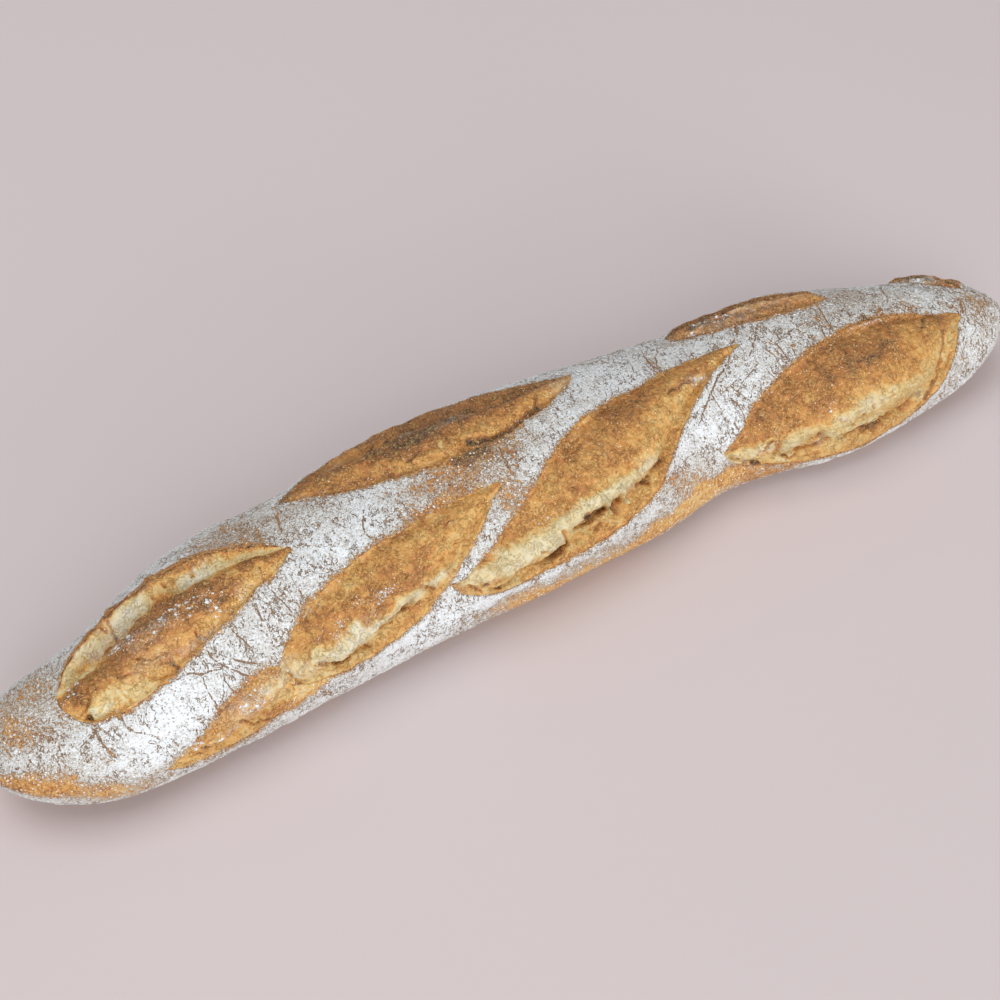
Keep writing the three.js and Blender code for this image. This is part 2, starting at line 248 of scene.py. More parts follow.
# Slashes. One runs from start to end. Above and below are the distances of its edges from that
# line at five stations. The crumb swells by bulge next to one edge, sinks into a seam and turns up
# into the ear. Bake across goes from the plain edge at 0 to the ear at 1: 0 is pale crumb, 1 burnt.
# A stroke is its path, half width, bake, strength and rise in millimetres. A stroke with a high bake
# and a sunken rise paints shade into the pit, hole, slot or crease it digs. Haze is a thin veil of
# flour and flecks are loose flour: x, angle, reach along, reach around and amount.
slashes = {
    "a": {
        "start": (-170, 1), "end": (-80, -2), "earSide": -1,
        "above": [-9.5, -15.2, -13.4, -8.4, -2.6], "below": [14.2, 17.8, 16.4, 10.6, 4.7],
        "bulge": 3.2, "seamAt": 0.8, "seam": 0.9, "rim": 4.8, "lip": 1, "fray": 0.2,
        "bakeAcross": [(0, 0.42), (0.12, 0.43), (0.3, 0.57), (0.5, 0.7), (0.66, 0.72), (0.74, 0.46),
                       (0.82, 0.14), (0.88, 0.2), (0.93, 0.4), (0.97, 0.6), (1, 0.88)],
        "strokes": [
            ([(-134.9, 6), (-131.5, 19), (-122.2, 20.5), (-110.6, 19.5)], 5, 0.5, 0.6, 0),
            ([(-157.2, 9.5), (-145.7, 14), (-134.7, 23), (-125.7, 25.5)], 2.6, 0.42, 0.6, 0.3),
            ([(-131.5, 26.5), (-120.4, 27), (-109.7, 25)], 2, 0.34, 0.6, 0),
            ([(-136.4, 10.5), (-131.9, 11), (-127.1, 13)], 1.2, 0.44, 0.6, 0),
            ([(-117.2, 16.5), (-110.4, 15), (-103.8, 13)], 1.4, 0.42, 0.6, 0),
            ([(-128.5, -1.5), (-119.4, 0.5), (-109.4, 4), (-102.3, 5)], 4.4, 0.7, 0.8, 0),
            ([(-114.2, 7.5), (-109.1, 9)], 2, 0.8, 0.8, 0),
            ([(-148.7, 1), (-144.9, 2)], 2.4, 0.76, 0.85, 0),
            ([(-136.3, 8), (-132.4, 8)], 1.6, 0.78, 0.8, 0),
            ([(-145.1, 10), (-135.7, 20), (-132.1, 25.5)], 2.6, 0.5, 0.8, 0.2),
            ([(-166.9, 2), (-162.6, 4), (-157.8, 2.5)], 3, 0.68, 0.8, 0),
            ([(-159.3, 0.5), (-153.2, 8)], 3, 0.57, 0.7, 0),
            ([(-157.9, 17.5), (-153.8, 18.5), (-148.2, 22.5), (-142, 27.5)], 3.6, 0.2, 0.9, 0.5),
            ([(-161.6, 20), (-156.9, 22)], 2.1, 0.04, 0.95, 0.6),
            ([(-151, 17), (-150, 23.5)], 1.2, 0.06, 0.8, 0.3),
            ([(-105.9, 17.5), (-100, 11.5), (-94.2, 6)], 3, 0.4, 0.8, 0),
            ([(-126.2, 22), (-118.4, 21.5), (-111.5, 23.5), (-105.5, 21)], 1.8, 0.46, 0.8, 0),
            ([(-137.7, -28.5), (-132.2, -24.5), (-126.8, -21), (-121.2, -18.5), (-115.5, -16.5),
              (-109.1, -14)], 1.5, 0.68, 0.85, 0.3),
            ([(-159.7, -17.5), (-154.9, -20), (-150.6, -23.5), (-148.2, -24.5)], 1.1, 0.68, 0.85, 0.6),
            ([(-164.2, -11.5), (-159.9, -14.5), (-154.6, -17.5), (-150.3, -19),
              (-146.5, -19)], 1.8, 0.12, 0.95, 0),
            ([(-143.4, -19), (-139.4, -20), (-135.4, -19), (-132, -17.5)], 2.5, 0.02, 0.9, 0.5),
            ([(-128.9, -16.5), (-124.5, -17), (-120.4, -15)], 2.1, 0.28, 0.8, 0),
            ([(-116.9, -12.5), (-112.4, -12), (-108.6, -10.5)], 2.2, 0.02, 0.9, 0.4),
            ([(-107.7, -5.5), (-103.6, -4.5), (-101.1, 0)], 1.8, 0.34, 0.8, 0.2),
            ([(-144.9, -30), (-146.3, -21.5)], 1.9, 0.34, 0.8, 0.5),
            # Painted shadow: a dark line between the wall and the bulge.
            ([(-145.7, -11), (-139.5, -9), (-133.4, -7), (-126.8, -14.5), (-118.1, -4.5), (-111.2, -1),
              (-104.3, 1)], 1.1, 0.72, 0.7, 0),
            # Painted shade in the pits and cracks below.
            ([(-146.3, -23), (-146.1, -22)], 0.9, 0.8, 0.95, -1.5),
            ([(-142.9, -22.5), (-144.3, -19.5), (-145.1, -18)], 0.5, 0.85, 0.9, -1.1),
            ([(-128, -17), (-127.9, -16.5)], 0.6, 0.75, 0.9, -1),
            ([(-123.2, -17), (-123.1, -16.5)], 0.6, 0.75, 0.9, -1),
            ([(-120.2, -16), (-120, -15)], 0.8, 0.6, 0.8, -0.9),
            ([(-113.5, -15.5), (-113.3, -14)], 0.9, 0.6, 0.8, -0.8),
            ([(-143.2, 4.5), (-137.5, 13.5), (-132.2, 16.5)], 0.45, 0.72, 0.8, -0.6),
            ([(-141.2, 12.5), (-135.3, 18.5), (-131.9, 20)], 0.45, 0.68, 0.7, -0.6),
            ([(-149.2, 11), (-142.6, 16.5), (-138.5, 23.5), (-133.8, 29)], 0.5, 0.66, 0.8, -0.6),
            ([(-131.8, 22), (-131.3, 27), (-131.9, 30.5)], 0.6, 0.9, 0.9, -1),
            ([(-120.9, 16), (-120.3, 20.5)], 0.5, 0.85, 0.9, -0.8),
            ([(-138.7, 28.5), (-135, 33)], 0.5, 0.92, 0.95, -0.9),
            ([(-151.3, 15), (-150.3, 22), (-149, 27)], 0.45, 0.5, 0.8, -0.7),
            ([(-159.7, 6.5), (-160.9, 12.5), (-162.8, 15.5)], 0.7, 0.62, 0.8, -0.9),
            ([(-156.8, 18.5), (-158.7, 22)], 0.4, 0.4, 0.7, -0.5),
            ([(-142.6, 24), (-142.3, 28.5)], 0.4, 0.46, 0.7, -0.5),
            ([(-163.2, 20), (-162.9, 24.5)], 0.7, 0.8, 0.75, -0.8),
        ],
        "haze": [
            (-145.9, -17.5, 3, 4, 0.6), (-154.1, -17.5, 6, 2, 0.9), (-137.3, -19.5, 7, 2.4, 0.95),
            (-112.4, -12, 6, 2, 0.9), (-138.1, 15.5, 8, 3, 0.4), (-120.7, 21.5, 10, 2, 0.4),
            (-137.7, 2, 8, 4, 0.2),
        ],
        "flecks": [
            (-141.9, -5.5, 6, 2.4, 0.3), (-133.1, 1, 8, 4, 0.26), (-123.1, 3.5, 8, 5, 0.22),
            (-113.5, 5.5, 7, 4, 0.2), (-101.6, 8.5, 4, 3, 0.3), (-145.9, -6.5, 4, 2, 0.25),
            (-164.1, -0.5, 5, 4, 0.25), (-112.3, 13, 3, 2, 0.28),
        ],
    },
    "b": {
        "start": (-105, 65), "end": (-6, 21), "earSide": 1,
        "above": [-4.6, -13.2, -13.3, -7.5, -2.6], "below": [8.1, 17.8, 18.3, 10.9, 3.1],
        "bulge": 3.4, "seamAt": 0.84, "seam": 0.7, "rim": 1, "lip": 0.9, "fray": 0.5,
        "bakeAcross": [(0, 0.42), (0.06, 0.44), (0.2, 0.48), (0.4, 0.56), (0.55, 0.56), (0.66, 0.44),
                       (0.8, 0.4), (1, 0.42)],
        "strokes": [
            ([(-75.9, 36), (-68.6, 36.5), (-61.2, 36.5)], 5, 0.5, 0.6, 0),
            ([(-56, 38), (-51.2, 47), (-45.1, 46)], 3, 0.66, 0.8, 0),
            ([(-62.4, 42.5), (-55, 47)], 1.6, 0.72, 0.7, 0),
            ([(-85.6, 43), (-80.3, 43.5), (-73.2, 44.5)], 3.4, 0.6, 0.7, 0),
            ([(-69.3, 30.5), (-67.6, 33.5)], 2.2, 0.34, 0.7, 0.2),
            ([(-77.5, 35.5), (-76.3, 38)], 2.4, 0.4, 0.6, 0.2),
            ([(-46.8, 28), (-35.4, 28), (-23.8, 28)], 3, 0.42, 0.6, 0),
            ([(-40, 41.5), (-28.5, 36), (-18.3, 29)], 1.6, 0.36, 0.7, 0),
            ([(-84.5, 76.5), (-77.1, 79), (-68.6, 77.5)], 1.6, 0.32, 0.8, 0),
            ([(-68.8, 78.5), (-59.1, 73), (-50.4, 66.5), (-43, 61.5)], 1.2, 0.52, 0.8, 0),
            ([(-100.5, 69.5), (-96.5, 78.5), (-93, 81)], 1.6, 0.4, 0.8, 0),
            ([(-100.8, 58), (-99.1, 63.5)], 2.4, 0.3, 0.8, 0.2),
            ([(-94.5, 62.5), (-90.1, 73), (-85.6, 78)], 4.2, 0.26, 0.9, 0.7),
            ([(-106.3, 67), (-102.9, 80), (-102, 87)], 2.4, 0.3, 0.8, 0),
            ([(-89.5, 58.5), (-85.5, 59.5), (-82, 64.5), (-77.7, 66.5)], 3, 0.12, 0.98, 0.9),
            ([(-78.5, 62), (-75, 61), (-71, 61)], 3.2, 0.1, 0.98, 0.8),
            ([(-72.5, 55), (-72, 58)], 2.4, 0.02, 1, 0.9),
            ([(-70.7, 65.5), (-67.6, 64.5), (-66.3, 60.5)], 2.3, 0.13, 0.95, 0.6),
            ([(-64.9, 60), (-61.7, 61), (-58.7, 59.5), (-56.2, 57.5)], 1.8, 0.13, 0.95, 0.6),
            ([(-55.1, 56), (-51.8, 56), (-48.3, 56.5)], 2.4, 0.1, 1, 0.7),
            ([(-43.5, 53.5), (-40.2, 53.5), (-36.8, 52.5)], 1.3, 0.08, 1, 0.6),
            ([(-34.2, 50.5), (-30.5, 47), (-27.2, 42.5)], 0.9, 0.2, 0.8, 0.4),
            # Painted shade: a dark crescent of shadow under the pale crumb, then dark pits and creases.
            ([(-83.1, 72), (-81.2, 75), (-78.5, 76.5), (-77, 75.5)], 0.6, 0.9, 0.95, -1.7),
            ([(-76.8, 70), (-73.5, 74), (-70.8, 73.5)], 0.9, 0.5, 0.8, -1.1),
            ([(-70.2, 74), (-68.4, 75)], 0.6, 0.85, 0.9, -1.2),
            ([(-66.3, 63.5), (-62.9, 65.5), (-59.1, 66.5)], 0.6, 0.66, 0.8, -0.9),
            ([(-54.5, 59.5), (-51.6, 63), (-48.3, 62.5)], 0.6, 0.6, 0.8, -0.7),
            ([(-53.7, 61.5), (-53.2, 62.5)], 0.6, 0.8, 0.9, -1),
            ([(-45.7, 53), (-42.2, 58.5)], 0.6, 0.66, 0.8, -0.7),
            ([(-89.8, 54.5), (-91.2, 58.5), (-91.3, 62)], 0.5, 0.5, 0.7, -0.6),
            ([(-98.1, 62.5), (-97.7, 69), (-95.8, 74.5), (-92.5, 79.5),
              (-88.3, 83)], 0.6, 0.74, 0.95, -1.2),
            ([(-88.6, 68.5), (-84.3, 76), (-80.2, 78.5)], 0.4, 0.55, 0.6, -0.4),
        ],
        "haze": [
            (-82, 64.5, 8, 3, 0.7), (-72.5, 59, 7, 4, 0.9), (-61.7, 61, 6, 2, 0.8),
            (-50.2, 56.5, 6, 2, 0.6), (-39.8, 54, 6, 2, 0.6), (-94.9, 64.5, 6, 5, 0.5),
            (-99.9, 60, 5, 5, 0.7),
        ],
        "flecks": [
            (-68.3, 44, 3, 1.8, 0.3), (-61.3, 46.5, 4, 2, 0.28), (-57.2, 45.5, 3, 1.6, 0.3),
            (-77.3, 49, 2.4, 2.4, 0.32), (-79.9, 54.5, 2.4, 2, 0.3), (-65.1, 51.5, 3, 1.6, 0.26),
            (-85.6, 52, 2.4, 1.4, 0.28), (-82.3, 35.5, 4, 3, 0.16),
        ],
    },
    "c": {
        "start": (-75, -40), "end": (42, -38), "earSide": -1,
        "above": [-4, -8.5, -11.5, -0.5, 2.5], "below": [6.8, 16.4, 22.4, 20, 10.4],
        "bulge": 3.6, "seamAt": 0.62, "seam": 0.9, "rim": 1.6, "lip": 0.6, "fray": 0.2,
        "bakeAcross": [(0, 0.6), (0.1, 0.6), (0.25, 0.64), (0.38, 0.74), (0.5, 0.8), (0.62, 0.8),
                       (0.75, 0.74), (0.9, 0.7), (1, 0.78)],
        "strokes": [
            ([(-50.3, -53), (-43.3, -48.5), (-36.4, -43.5)], 5, 0.56, 0.7, 0),
            ([(-32.2, -53.5), (-22.3, -61), (-11.5, -61), (-1.6, -54)], 3, 0.78, 0.7, 0),
            ([(-28.2, -28.5), (-22.8, -25.5), (-16.9, -24)], 3.4, 0.9, 0.8, 0),
            ([(-38.1, -54), (-29.7, -55)], 2, 0.82, 0.7, 0),
            ([(-30.7, -24.5), (-26.5, -21.5), (-22.6, -21), (-19.1, -22)], 2.2, 0.94, 0.85, 0),
            ([(-34.6, -24.5), (-30.8, -18.5), (-26.6, -17)], 2.2, 0.78, 0.7, 0),
            ([(-25, -40.5), (-21, -36)], 2, 0.7, 0.8, 0.3),
            # Painted shade in the crease between the bulge and the far lip.
            ([(-16.8, -32), (-9.1, -23.5), (-0.2, -21), (8.6, -22.5)], 1.7, 0.84, 0.85, -0.3),
            ([(-16.7, -40.5), (-12.5, -33), (-7.2, -30.5), (-2.1, -26.5)], 0.6, 1.05, 0.95, -1),
            # Painted highlight: lighter tan along the lower bulge.
            ([(-34.3, -14.5), (-29.3, -9.5), (-23.6, -8), (-17.9, -8.5),
              (-12.5, -8)], 2.4, 0.44, 0.85, 0.7),
            ([(-48.2, -25.5), (-42.1, -20.5), (-36.1, -15.5)], 2.6, 0.52, 0.7, 0.3),
            ([(-16.8, -14.5), (-17.5, -10.5)], 0.8, 0.26, 0.8, 0.2),
            ([(-11.8, -11), (-6.3, -9.5), (-2, -9), (1.8, -8.5)], 2.6, 0.46, 0.85, 0.6),
            ([(-3.6, -9), (-0.3, -8)], 1.4, 0.36, 0.8, 0.2),
            ([(6.5, -12.5), (12.5, -14), (18.2, -17)], 3, 0.56, 0.8, 0.3),
            ([(11.5, -13.5), (14, -15)], 1.2, 0.38, 0.7, 0.2),
            ([(11.1, -25.5), (14.5, -26.5)], 1.4, 0.9, 0.8, 0),
            ([(19, -19), (26.8, -21.5), (34.3, -24.5), (40.5, -29)], 3.2, 0.36, 0.7, 0.2),
            ([(24.5, -24.5), (32.3, -28)], 1.6, 0.42, 0.7, 0),
            ([(22.3, -26), (28.8, -26)], 1.8, 0.6, 0.7, 0),
            # Painted shade in the cracks below.
            ([(-41.5, -31.5), (-37.4, -42.5), (-34.5, -47.5)], 0.5, 1, 0.9, -0.7),
            ([(-29.9, -44.5), (-26.6, -48.5)], 0.4, 1, 0.8, -0.6),
            ([(-54.6, -37), (-51.3, -37), (-47.9, -39.5)], 0.5, 0.9, 0.8, -0.6),
            ([(-39.2, -22), (-37.7, -28.5)], 0.4, 0.75, 0.7, -0.5),
            ([(-30.9, -13), (-27.4, -13.5), (-23.7, -16.5)], 0.45, 0.85, 0.9, -0.7),
            ([(-22.6, -46.5), (-20.1, -45), (-18.5, -38)], 0.4, 1.05, 0.9, -0.6),
            # Painted shadow: a dark groove along the near edge, where the bulge overhangs the crust.
            ([(-8.1, -7), (-3.8, -6.5), (1.1, -4.5), (6.5, -4), (13.1, -7),
              (20.8, -12)], 1.1, 0.98, 0.95, -1.2),
            # Painted highlight: lighter tan just above that groove.
            ([(-4, -9.5), (0.8, -8), (6.6, -8.5), (12.2, -11)], 1.6, 0.46, 0.7, 0.5),
            ([(22.9, -19), (20.6, -15)], 0.45, 0.85, 0.8, -0.6),
            ([(2.8, -2.5), (12.9, -8.5), (21.9, -11.5)], 0.6, 0.8, 0.8, 0),
            ([(-53.3, -23.5), (-43.8, -16.5), (-34.3, -9.5), (-24.6, -3)], 0.6, 0.7, 0.8, 0),
        ],
        "haze": [
            (-23.1, -37.5, 5, 2.4, 0.4), (-9.1, -23.5, 12, 1.6, 0.2), (-52, -43.5, 4, 1.4, 0.4),
            (34, -24, 8, 4, 0.5),
        ],
        "flecks": [
            (-27.7, -14, 6, 3, 0.14), (-17.6, -11, 3, 2.4, 0.1), (-39.1, -23.5, 8, 3, 0.1),
            (-47.4, -28, 8, 3, 0.1),
        ],
    },
    "d": {
        "start": (-36, 59), "end": (103, -8), "earSide": 1,
        "above": [2, -3.5, -12, -8.3, -2.8], "below": [16, 24.4, 25.8, 11.3, 3.1],
        "bulge": 3.8, "seamAt": 0.84, "seam": 1.2, "rim": 1.4, "lip": 0.9, "fray": 0.1,
        "bakeAcross": [(0, 0.5), (0.06, 0.54), (0.3, 0.52), (0.45, 0.49), (0.6, 0.4), (0.75, 0.37),
                       (0.9, 0.44), (1, 0.5)],
        "strokes": [
            ([(4.3, 38), (15.1, 33.5), (25.4, 31.5)], 4.5, 0.5, 0.6, 0),
            ([(15.7, 37), (18.8, 41.5)], 1.8, 0.64, 0.8, 0),
            ([(9.1, 33), (12.1, 33)], 2.4, 0.4, 0.7, 0.2),
            ([(43.2, 3), (49.8, 3), (54.5, 9)], 6.5, 0.64, 0.8, 0),
            ([(39.7, 15), (50.4, 18.5)], 4, 0.6, 0.6, 0),
            ([(36.9, 27), (40.7, 31)], 2.2, 0.62, 0.6, 0),
            ([(1.1, 47.5), (9.5, 44.5), (14.7, 46.5)], 1.6, 0.58, 0.6, 0),
            ([(51.7, 26.5), (65.7, 17), (75.4, 16.5)], 5, 0.4, 0.8, 0),
            ([(67.6, 11.5), (77, 7), (86.4, 3)], 1.8, 0.72, 0.7, 0),
            ([(74.3, 19.5), (86, 12)], 3, 0.5, 0.8, 0),
            ([(73.2, 9.5), (82.1, 8.5)], 1.3, 0.34, 0.7, 0.3),
            ([(66.2, 10.5), (74.7, 8.5), (79, 9)], 0.6, 0.85, 0.8, -0.6),
            ([(7.4, 51.5), (20.3, 48), (33.7, 43.5), (46, 38)], 3.2, 0.36, 0.7, 0),
            ([(12.3, 72.5), (22.1, 71.5), (32.5, 67.5), (41.5, 62.5)], 2.4, 0.42, 0.8, 0),
            ([(11.3, 61), (15.2, 62), (18.7, 61.5)], 1.3, 0.2, 0.85, 0.3),
            ([(18.9, 63.5), (23.4, 65), (26.8, 65)], 1.5, 0.36, 0.8, 0.6),
            ([(8.5, 74), (11.8, 73)], 1.4, 0.3, 0.8, 0.4),
            ([(27, 70), (31.4, 67.5)], 1, 0.3, 0.7, 0.4),
            ([(-10.3, 78.5), (-0.7, 78.5), (9.3, 76.5)], 1.5, 0.46, 0.8, 0),
            ([(18.2, 74.5), (25.5, 72.5), (31.8, 70)], 1.4, 0.56, 0.6, 0.3),
            ([(-31.4, 61.5), (-25.8, 62.5), (-20, 63), (-14.6, 65)], 3, 0.18, 0.95, 0.5),
            ([(-24.4, 76.5), (-18.4, 76.5), (-12.7, 79.5)], 2.2, 0.22, 0.9, 0.3),
            ([(-14.6, 60.5), (-9.6, 60.5), (-4.1, 59.5), (1.2, 59), (4.4, 58)], 4.4, 0.08, 0.98, 1.4),
            ([(4.1, 61.5), (5.6, 63.5)], 2.8, 0.08, 1, 0.5),
            ([(-13.7, 64.5), (-10.1, 66), (-5.3, 65.5)], 0.9, 0.3, 0.6, 0),
            ([(5.1, 54.5), (10, 53), (14.8, 51.5), (19.6, 50.5), (23.9, 50), (27.7, 49.5), (31.5, 48),
              (35.2, 47), (39.6, 46.5)], 2.3, 0.08, 0.98, 1.2),
            ([(10.8, 56), (14.1, 55), (16.7, 54.5)], 2.4, 0.14, 0.95, 0.4),
            ([(41.6, 46.5), (45.3, 45), (49.1, 43), (51.7, 38)], 2.2, 0.26, 0.85, 0.3),
            # Painted shade: dark holes, slot and gaps under the pale rope of crumb.
            ([(6.4, 56), (7.6, 61), (9.2, 71.5)], 0.7, 0.62, 0.9, -1.5),
            ([(-0.9, 72), (2.9, 74.5), (6.5, 73.5)], 1, 0.9, 0.95, -2.2),
            ([(8, 72), (8.7, 71)], 0.7, 0.9, 0.9, -2),
            ([(12.2, 61), (15.2, 62), (18.8, 62)], 0.5, 0.8, 0.85, -1.4),
            ([(17.8, 55.5), (20, 61)], 1.2, 0.84, 0.95, -2),
            ([(21.6, 57), (24.1, 58), (25.8, 57)], 1.8, 0.86, 0.95, -2.4),
            ([(29.4, 59.5), (30.6, 57.5), (32.3, 56)], 2.1, 0.68, 0.95, -2),
            ([(37.2, 53.5), (39, 51)], 2.4, 0.3, 0.95, -1.1),
            ([(25.1, 50), (26.8, 56), (28, 62)], 0.8, 0.12, 1, 2.2),
            ([(32.1, 49), (34.4, 56), (35, 60)], 0.9, 0.12, 1, 2),
            ([(43.5, 54.5), (45.1, 54.5)], 0.9, 0.86, 0.9, -1.3),
            ([(20.1, 70.5), (22.8, 69)], 0.8, 0.7, 0.8, -0.8),
            ([(37.4, 65), (37.5, 66)], 0.6, 0.75, 0.8, -0.6),
            ([(9.9, 61.5), (14.5, 64), (18.7, 70.5)], 0.8, 0.28, 0.8, 0.7),
            ([(-24.5, 69), (-23.2, 69)], 0.6, 0.88, 0.95, -0.9),
            ([(-20.8, 76), (-19.1, 78.5)], 0.6, 0.88, 0.95, -0.9),
            ([(-2.8, 64.5), (-0.4, 65)], 0.4, 0.6, 0.7, -0.6),
            ([(-29.5, 66.5), (-27.2, 72.5), (-25.5, 76)], 0.5, 0.7, 0.9, -0.3),
            ([(17.6, 24), (24.4, 19.5), (31.5, 18)], 0.45, 0.66, 0.6, -0.5),
            ([(7.9, 43.5), (12.1, 42), (15.1, 45)], 0.4, 0.62, 0.6, -0.4),
        ],
        "haze": [
            (-6.2, 61, 12, 4, 0.35), (-25.4, 64, 10, 4, 0.4), (37.9, 52, 3.5, 2.6, 1),
            (46.2, 44.5, 5, 3, 0.8), (-9.9, 64.5, 3, 1.6, 0.8), (14.9, 57.5, 5, 2, 0.4),
            (79, 9, 8, 2, 0.5), (23.9, 50, 14, 2, 0.3),
        ],
        "flecks": [(81.9, 9.5, 6, 1.5, 0.3), (31.1, 26, 18, 7, 0.12), (1.9, 45.5, 8, 4, 0.15)],
    },
    "e": {
        "start": (84, -43), "end": (146, -28), "earSide": -1,
        "above": [-5.8, -8, -8, -6.5, -4], "below": [5.3, 7.6, 8, 6.8, 3.6],
        "bulge": 2.5, "seamAt": 0.7, "seam": 0.9, "rim": 1.8, "lip": 0.8, "fray": 0.3,
        "bakeAcross": [(0, 0.6), (0.3, 0.66), (0.6, 0.75), (1, 0.85)],
        "strokes": [
            ([(92, -39), (99, -38)], 1, 0.95, 0.8, -0.6),
            ([(106, -38), (116, -36)], 0.8, 0.9, 0.7, -0.4),
            ([(112, -36), (128, -34), (143, -31)], 3.6, 0.42, 0.8, 0.2),
        ],
        "haze": [(115, -33, 30, 5, 0.35)],
        "flecks": [(100, -36, 12, 5, 0.25)],
    },
    "f": {
        "start": (79, 66), "end": (188, 18), "earSide": 1,
        "above": [-3.4, -14.2, -18.4, -15.4, -4.8], "below": [15, 27.2, 35.6, 30, 9],
        "bulge": 4.2, "seamAt": 0.8, "seam": 1, "rim": 1.3, "lip": 0.9, "fray": 0.1,
        "bakeAcross": [(0, 0.58), (0.05, 0.62), (0.2, 0.62), (0.4, 0.56), (0.5, 0.5), (0.6, 0.38),
                       (0.72, 0.31), (0.82, 0.34), (0.9, 0.38), (1, 0.42)],
        "strokes": [
            ([(119.7, 28.5), (131.1, 28.5), (143.1, 28), (155, 31)], 7.5, 0.62, 0.8, 0),
            ([(125.4, 33.5), (138.6, 29.5), (147.8, 27)], 4.2, 0.74, 0.85, 0),
            ([(108.3, 43), (114.6, 41), (119, 46)], 3.4, 0.58, 0.7, 0),
            ([(129.7, 45), (142.7, 42), (151.6, 41.5)], 3, 0.56, 0.6, 0),
            ([(98.5, 55.5), (106.3, 52), (114.9, 54.5)], 3, 0.5, 0.7, 0),
            ([(113.7, 44.5), (116.1, 43.5)], 1.8, 0.44, 0.7, 0.2),
            ([(124.3, 52.5), (133, 51), (142.5, 49.5)], 2, 0.44, 0.7, 0),
            ([(161.2, 21.5), (160.9, 34), (159.6, 44.5)], 4.5, 0.44, 0.8, 0),
            ([(170.2, 22.5), (170.9, 31.5), (170.5, 43.5)], 4, 0.34, 0.85, 0),
            ([(108.3, 61.5), (113.2, 59), (117.1, 56.5)], 1.6, 0.5, 0.6, 0),
            ([(80.4, 72), (84.3, 71.5), (87.8, 71.5)], 3.6, 0.14, 0.95, 0.4),
            ([(90.4, 71), (93.4, 68), (96.1, 66.5)], 2.4, 0.18, 0.9, 0.7),
            ([(103.1, 88), (103.5, 74.5), (106.4, 72)], 3.4, 0.14, 0.95, 0.7),
            ([(105.9, 68), (109.9, 67.5), (114.8, 67.5)], 3.4, 0.2, 0.9, 0.4),
            ([(122.7, 64.5), (127.2, 63.5), (131.4, 61)], 3.8, 0.17, 0.9, 0.6),
            ([(133.1, 59.5), (136.5, 59), (140.5, 58), (145.1, 58)], 3.6, 0.15, 0.9, 0.6),
            ([(127.1, 74), (132.6, 77), (137.3, 78)], 2.8, 0.2, 0.9, 0.4),
            ([(145.8, 61.5), (151.5, 59.5), (159.3, 59.5), (163.8, 56.5)], 3.4, 0.24, 0.9, 0.2),
            ([(109.2, 90.5), (114.9, 90), (119.9, 89)], 1.4, 0.44, 0.8, 0),
            ([(112.2, 93.5), (117.5, 92)], 1.1, 0.6, 0.8, 0),
            ([(129, 93.5), (137.4, 93.5), (148.8, 90.5)], 2.2, 0.42, 0.8, 0),
            ([(152.6, 82.5), (155.9, 80.5)], 1.8, 0.6, 0.8, 0),
            # Painted shade in the hollows, pits and slot below, between pale strands.
            ([(99.8, 85), (99.2, 69.5)], 1.3, 0.6, 0.9, -0.7),
            ([(94.5, 69), (97.5, 66)], 0.8, 0.66, 0.9, -1.4),
            ([(90.8, 72.5), (94, 70.5)], 0.45, 0.75, 0.8, -0.9),
            ([(90.2, 84), (92.1, 87.5)], 0.9, 1.05, 0.95, -2.2),
            ([(85.7, 81), (86.9, 82)], 0.6, 0.8, 0.8, -1),
            ([(102.3, 89), (104.5, 90.5), (106.8, 91)], 0.5, 0.8, 0.9, -1.2),
            ([(116.3, 75), (119.9, 80.5), (122, 88.5)], 4, 0.34, 0.9, -1.9),
            ([(118.5, 70), (120.8, 76.5)], 2.2, 0.14, 0.9, 1.6),
            ([(115.8, 73.5), (116.6, 77.5)], 0.7, 0.8, 0.8, -0.8),
            ([(120, 88.5), (121.7, 88)], 0.6, 0.8, 0.8, -0.8),
            ([(122.5, 79), (124, 84.5)], 0.9, 0.82, 0.95, -1.8),
            ([(124, 74.5), (126.7, 89), (124.5, 91.5)], 0.6, 0.36, 0.8, 0.8),
            ([(135.5, 61), (136.4, 63)], 0.7, 0.66, 0.85, -1),
            ([(132.1, 64.5), (132.5, 66.5)], 0.4, 0.7, 0.8, -0.6),
            ([(127.6, 71), (128.5, 74.5)], 0.5, 0.7, 0.8, -0.7),
            ([(122.7, 63.5), (123.8, 66)], 0.5, 0.6, 0.8, -0.6),
            ([(134.2, 88.5), (137, 89), (140.3, 88), (141.9, 87.5)], 1, 0.86, 0.95, -1.9),
            ([(134.4, 74), (137.3, 73.5)], 1, 0.4, 0.7, -0.5),
            ([(160.4, 73.5), (160.7, 75)], 1.2, 0.66, 0.9, -1.7),
            ([(158.6, 70), (159.4, 66.5), (161.9, 74), (160.3, 78)], 0.5, 0.16, 0.8, 0.8),
            ([(112.7, 41.5), (111.9, 47.5), (113.9, 52), (116.6, 50.5), (118.7, 46)], 0.7, 0.68, 0.7, -0.5),
            ([(105.8, 44.5), (104.6, 53.5)], 0.6, 0.66, 0.7, -0.4),
            ([(101.5, 39), (100.8, 44.5)], 0.5, 0.4, 0.6, 0.3),
            ([(176.5, 30), (173.4, 45), (170.7, 62.5), (166.5, 73), (162.5, 81.5)], 1, 0.7, 0.9, -0.5),
            ([(172.7, 14), (169.2, 23)], 0.6, 0.85, 0.8, -0.5),
        ],
        "haze": [
            (119.1, 83.5, 5, 3.5, 1), (124.6, 64, 3, 2, 0.9), (94, 70.5, 6, 2.4, 0.6),
            (86.4, 78, 5, 3, 0.7), (104.3, 79.5, 5, 2.4, 0.5), (135.6, 59, 6, 3, 0.6),
            (160.6, 74.5, 3, 3, 0.6), (133.7, 82.5, 8, 2, 0.4),
        ],
        "flecks": [
